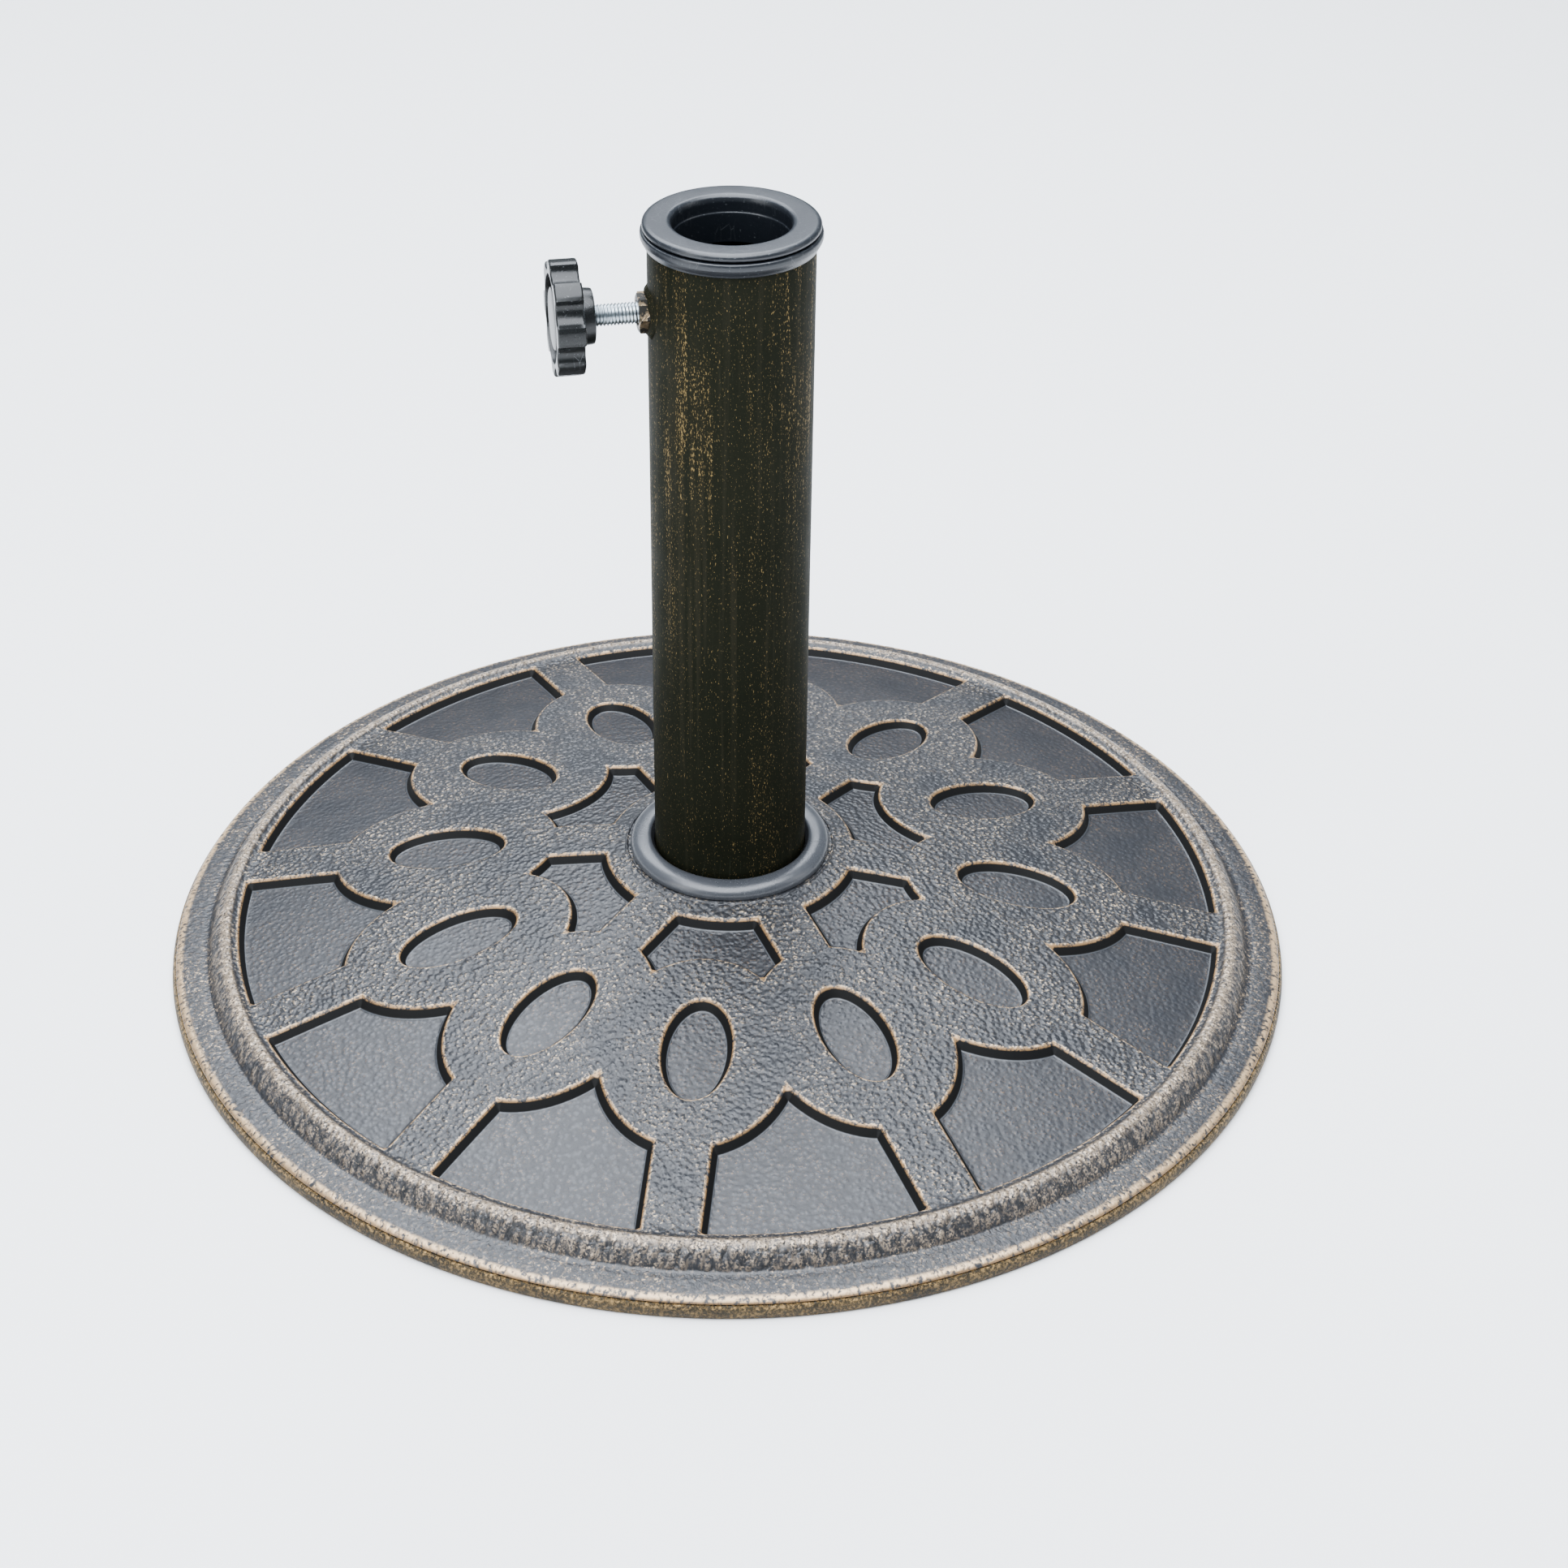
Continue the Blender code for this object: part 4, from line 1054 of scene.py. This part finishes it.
def build_weld(material):
    """Uneven weld bead between the nut and the tube."""
    axis = screw_height()
    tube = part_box("stand_tube")[1].x
    steps = 120
    turn = np.arange(steps) * math.tau / steps
    inner = hexagon_radius(turn, M8_FLATS) - 0.2 * MM
    shape = [(0.0, 1.2), (0.3, 1.35), (0.8, 1.25), (1.5, 0.85), (2.3, 0.40), (3.0, 0.08), (3.3, -0.5)]
    points = []
    for out, rise in shape:
        for i in range(steps):
            spot = Vector((math.cos(turn[i]) * 1.7, math.sin(turn[i]) * 1.7, out * 0.4))
            lump = noise.noise(spot) + 0.3 * noise.noise(spot * 2.3)
            radius = inner[i] * 0.5 + 6.9 * MM * 0.5 + out * MM * (1.0 + 0.45 * lump)
            across = radius * math.sin(turn[i])
            surface = math.sqrt(tube * tube - across * across)
            reach = surface + rise * MM * (1.0 + 0.30 * lump)
            points.append((-reach, across, axis + radius * math.cos(turn[i])))
    faces = grid_faces(len(shape), steps, closed=False)
    weld = add_solid("nut_weld", points, faces, material, "stand", 180.0)
    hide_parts("clamp_nut_weld")


def thread_mesh(radius, depth, pitch, low, high):
    """Right-hand thread between two heights, closed by a chamfered core at either end."""
    steps = 32
    turns = int((high - low) / pitch) - 1
    count = turns * steps + 1
    i = np.arange(count)
    turn = i * math.tau / steps
    rise = low + i * pitch / steps
    shape = [(radius - depth, 0.0), (radius, 0.42), (radius, 0.55), (radius - depth, 0.97)]
    points = [around_z(reach, rise + offset * pitch, turn) for reach, offset in shape]
    faces = []
    for k in range(3):
        for a in range(count - 1):
            faces.append([k * count + a, k * count + a + 1, (k + 1) * count + a + 1, (k + 1) * count + a])
    for a in range(count - 1 - steps):
        b = a + steps
        faces.append([3 * count + a, 3 * count + a + 1, b + 1, b])
    core, core_faces = turned_mesh([
        (0.0, low - 0.2 * MM), (radius - depth - 0.5 * MM, low - 0.2 * MM),
        (radius - depth + 0.02 * MM, low + 0.5 * MM), (radius - depth + 0.02 * MM, high), (0.0, high),
    ], steps, closed=False)
    start = 4 * count
    faces += [[c + start for c in f] for f in core_faces]
    return np.concatenate(points + [core]), faces


def build_screw(material):
    """M8 screw with a helical thread and a hexagon head inside the knob."""
    low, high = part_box("clamp_screw")
    tip = -high.x
    head = 57.5 * MM
    points, faces = thread_mesh(3.95 * MM, 0.62 * MM, 1.25 * MM, tip + 0.2 * MM, head)
    head_points, head_faces = hexagon_mesh(M8_FLATS, 0.0, head, -low.x)
    faces += [[c + len(points) for c in f] for f in head_faces]
    points = along_screw(np.concatenate([points, head_points]), screw_height())
    screw = add_solid("threaded_screw", points, faces, material, "clamp_knob", 50.0)
    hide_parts("clamp_screw")


def lobe_radius(turn, tip, valley):
    """The star knob's outline: round-shouldered lobes with scooped valleys."""
    half = math.pi / KNOB_LOBES
    part = (turn - KNOB_PHASE + half) % (2 * half) - half
    reach = np.abs(part) / half
    shoulder = 0.25 * MM * smooth_step(0.20, 0.46, reach)
    scoop = np.sqrt(np.clip(1.0 - ((1.0 - reach) / 0.55) ** 2, 0.0, 1.0))
    return tip - shoulder - (tip - valley - 0.25 * MM) * scoop


def build_knob(material):
    """Eight-lobed knob with a boss towards the tube and a recessed outer face."""
    low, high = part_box("star_knob")
    face = -low.x
    boss = -high.x
    body = boss + 4.9 * MM
    tip = (high.z - low.z) / 2
    valley = 17.5 * MM
    steps = 384
    turn = np.arange(steps) * math.tau / steps
    outline = lobe_radius(turn, tip, valley)
    recess = 15.8 * MM
    edge = 0.9 * MM
    bore = 4.25 * MM
    pocket = 7.7 * MM
    corner = [math.pi / 2 * k / 6 for k in range(7)]
    rows = [(bore, boss), (9.1 * MM, boss), (9.75 * MM, boss + 0.25 * MM), (10.0 * MM, boss + 0.9 * MM),
            (10.3 * MM, body - 0.5 * MM), (11.0 * MM, body), (outline - edge, body)]
    for angle in corner[1:]:
        rows.append((outline - edge * (1.0 - math.sin(angle)), body + edge * (1.0 - math.cos(angle))))
    for angle in corner:
        rows.append((outline - edge * (1.0 - math.cos(angle)), face - edge * (1.0 - math.sin(angle))))
    rows += [(recess + 0.35 * MM, face), (recess + 0.1 * MM, face - 0.12 * MM), (recess, face - 0.4 * MM),
             (recess - 0.15 * MM, face - 2.0 * MM), (recess - 0.5 * MM, face - 2.2 * MM),
             (pocket + 0.2 * MM, face - 2.2 * MM), (pocket, face - 2.5 * MM), (pocket, boss + 7.6 * MM),
             (bore, boss + 7.6 * MM)]
    points = np.concatenate([around_z(radius, height, turn) for radius, height in rows])
    faces = grid_faces(len(rows), steps)
    points = along_screw(points, screw_height())
    knob = add_solid("lobed_knob", points, faces, material, "clamp_knob", 40.0)
    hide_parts("star_knob")


def build_knob_cap(material):
    """Slightly domed round cap in the knob's outer face."""
    low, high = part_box("knob_cap")
    axis = (low.z + high.z) / 2
    reach = (high.z - low.z) / 2
    inner = -high.x
    outer = -low.x
    profile = [(0.0, outer), (reach * 0.5, outer - 0.05 * MM), (reach - 1.0 * MM, outer - 0.2 * MM),
               (reach - 0.3 * MM, outer - 0.45 * MM), (reach, outer - 0.95 * MM), (reach, inner),
               (0.0, inner)]
    cap = turned("centre_cap", profile, 96, material, "clamp_carrier",
                 lambda points: along_screw(points, axis), closed=False)
    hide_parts("knob_cap")


# ---------------------------------------------------------------- fasteners under the base
WASHER_BORE = 5.4 * MM


def build_anchor_bolt(material):
    """Anchor bolt with a chamfered head."""
    low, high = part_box("anchor_bolt")
    head_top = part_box("anchor_spring_washer")[0].z - 0.3 * MM
    points, faces = hexagon_mesh(M10_FLATS, 0.0, low.z, head_top)
    shank, shank_faces = thread_mesh(5.0 * MM, 0.75 * MM, 1.5 * MM, head_top - 1.0 * MM, high.z)
    faces += [[c + len(points) for c in f] for f in shank_faces]
    points = np.concatenate([points, shank])
    bolt = add_solid("anchor_bolt_finished", points, faces, material, "stand", 50.0)
    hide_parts("anchor_bolt")


def build_spring_washer(material):
    """Split spring washer, with one end a little higher than the other."""
    low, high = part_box("anchor_spring_washer")
    steps = 72
    gap = math.radians(9.0)
    bottom = low.z + 0.15 * MM
    top = high.z - 0.15 * MM
    section = [(WASHER_BORE, bottom), (high.x, bottom), (high.x, top), (WASHER_BORE, top)]
    points = []
    for i in range(steps + 1):
        turn = gap / 2 + (math.tau - gap) * i / steps
        lift = (high.z - low.z) * 0.12 * (i / steps - 0.5)
        for radius, height in section:
            points.append((radius * math.cos(turn), radius * math.sin(turn), height + lift))
    faces = [[0, 1, 2, 3], [4 * steps + k for k in (3, 2, 1, 0)]]
    for i in range(steps):
        for k in range(4):
            j = (k + 1) % 4
            faces.append([4 * i + k, 4 * i + 4 + k, 4 * i + 4 + j, 4 * i + j])
    washer = add_solid("spring_washer_split", points, faces, material, "stand", 40.0)
    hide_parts("anchor_spring_washer")


def build_flat_washer(material):
    """Flat washer with rounded edges."""
    low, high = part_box("anchor_washer")
    profile = [(WASHER_BORE, low.z), (high.x, low.z), (high.x, high.z), (WASHER_BORE, high.z)]
    washer = turned("flat_washer", fillet(profile, 0.3 * MM, 3), 96, material, "stand")
    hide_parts("anchor_washer")


def build_end_nut(material):
    """Chamfered nut on the tube's end plate."""
    low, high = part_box("end_plate_nut")
    points, faces = hexagon_mesh(M10_FLATS, 5.3 * MM, low.z, high.z)
    nut = add_solid("anchor_nut", points, faces, material, "stand", 30.0)
    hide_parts("end_plate_nut")


def keep_node(name, material):
    """Show a CAD node as it is, with a finished material."""
    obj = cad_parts[name]
    obj.data.materials.clear()
    obj.data.materials.append(material)


# ---------------------------------------------------------------- studio
def build_floor():
    """Large pale floor."""
    look = Look("studio_floor")
    soft = look.noise(look.place, 3.0, 2.0)
    look.set(base_color=look.mix(soft, (0.92, 0.92, 0.92), (0.94, 0.94, 0.94)))
    look.set(roughness=0.82 + soft * 0.1)
    mesh = bpy.data.meshes.new("studio_floor")
    reach = 6.0
    corners = [(-reach, -reach, 0.0), (reach, -reach, 0.0), (reach, reach, 0.0), (-reach, reach, 0.0)]
    mesh.from_pydata(corners, [], [(0, 1, 2, 3)])
    mesh.materials.append(look.material)
    floor = bpy.data.objects.new("studio_floor", mesh)
    bpy.context.scene.collection.objects.link(floor)


def add_softbox(name, place, aim, size, power, colour=(1.0, 1.0, 1.0)):
    """Rectangular soft light that looks at a point."""
    data = bpy.data.lights.new(name, "AREA")
    data.shape = "RECTANGLE"
    data.size, data.size_y = size
    data.energy = power
    data.color = colour
    light = bpy.data.objects.new(name, data)
    light.location = place
    light.rotation_euler = (Vector(aim) - Vector(place)).to_track_quat("-Z", "Y").to_euler()
    bpy.context.scene.collection.objects.link(light)


def build_lights():
    """Soft light from above and behind, with weak fills from the sides."""
    world = bpy.data.worlds.new("studio")
    world.use_nodes = True
    background = world.node_tree.nodes["Background"]
    background.inputs["Color"].default_value = (0.80, 0.86, 0.92, 1.0)
    background.inputs["Strength"].default_value = 0.28
    bpy.context.scene.world = world
    bpy.context.scene.view_settings.look = "AgX - Medium High Contrast"
    middle = (0.0, 0.0, 0.12)
    add_softbox("sky_box", place=(-0.05, 1.60, 1.95), aim=(0.0, 0.0, 0.0), size=(2.2, 1.3), power=50.0,
                colour=(0.88, 0.93, 1.0))
    add_softbox("top_box", place=(-0.2, -0.5, 2.3), aim=(0.0, -0.3, 0.0), size=(2.6, 3.2), power=165.0,
                colour=(0.90, 0.94, 1.0))
    add_softbox("left_fill", place=(-2.0, -1.0, 0.9), aim=middle, size=(1.0, 1.4), power=12.0)
    add_softbox("right_fill", place=(2.0, -0.6, 1.0), aim=middle, size=(0.8, 1.4), power=5.0)


CAMERA_DISTANCE = 1.15894
CAMERA_TURN = math.radians(-100.33)    # where the camera stands, about the tube
CAMERA_RISE = math.radians(37.21)
VIEW_TURN = math.radians(78.34)        # which way it looks
VIEW_FALL = math.radians(34.30)
VIEW_ROLL = math.radians(-0.93)
LENS_MM = 64.57


def build_camera():
    """Camera at the photograph's angle."""
    data = bpy.data.cameras.new("photo_camera")
    data.sensor_width = 36.0
    data.lens = LENS_MM
    data.clip_start = 0.05
    data.clip_end = 30.0
    camera = bpy.data.objects.new("photo_camera", data)
    level = CAMERA_DISTANCE * math.cos(CAMERA_RISE)
    place = Vector((level * math.cos(CAMERA_TURN), level * math.sin(CAMERA_TURN),
                    CAMERA_DISTANCE * math.sin(CAMERA_RISE)))
    ahead = Vector((math.cos(VIEW_TURN) * math.cos(VIEW_FALL),
                    math.sin(VIEW_TURN) * math.cos(VIEW_FALL), -math.sin(VIEW_FALL)))
    right = ahead.cross(Vector((0.0, 0.0, 1.0))).normalized()
    up = right.cross(ahead)
    tilted_right = right * math.cos(VIEW_ROLL) - up * math.sin(VIEW_ROLL)
    tilted_up = right * math.sin(VIEW_ROLL) + up * math.cos(VIEW_ROLL)
    turn = Matrix((tilted_right, tilted_up, -ahead)).transposed()
    camera.matrix_world = Matrix.Translation(place) @ turn.to_4x4()
    bpy.context.scene.collection.objects.link(camera)
    bpy.context.scene.camera = camera


# ---------------------------------------------------------------- the whole scene
tube_paint = tube_look()
zinc = zinc_look("bright_zinc_plate", (0.66, 0.74, 0.79), (0.10, 0.10, 0.09), 0.02)
worn_zinc = zinc_look("painted_zinc", (0.44, 0.34, 0.23), (0.018, 0.016, 0.012), 0.26)
satin_black = plastic_look("satin_plastic_moulding", (0.011, 0.014, 0.019), (0.019, 0.023, 0.029),
                           sheen=0.29, shine=0.85)
# The collar's paler base: partly its own grey-blue tone, partly painted highlight lightened to brighten
# its crest.
collar_black = plastic_look("collar_plastic_moulding", (0.060, 0.064, 0.072), (0.082, 0.087, 0.096),
                            sheen=0.22, shine=0.85)
knob_black = plastic_look("knob_plastic_moulding", (0.008, 0.009, 0.009), (0.015, 0.017, 0.018),
                          sheen=0.22, scuffs=0.6)

build_shell(shell_look())
build_pan(pan_look())
build_pan_screws(zinc)
keep_node("ballast_fill", cement_look())
keep_node("tube_end_plate", tube_paint)
build_collar(collar_black)
build_tube(tube_paint)
build_end_ring(satin_black)
build_reducer(satin_black)
build_clamp_nut(worn_zinc)
build_weld(tube_paint)
build_screw(zinc)
build_knob(knob_black)
build_knob_cap(knob_black)
build_anchor_bolt(zinc)
build_spring_washer(zinc)
build_flat_washer(zinc)
build_end_nut(zinc)
build_floor()
build_lights()
build_camera()
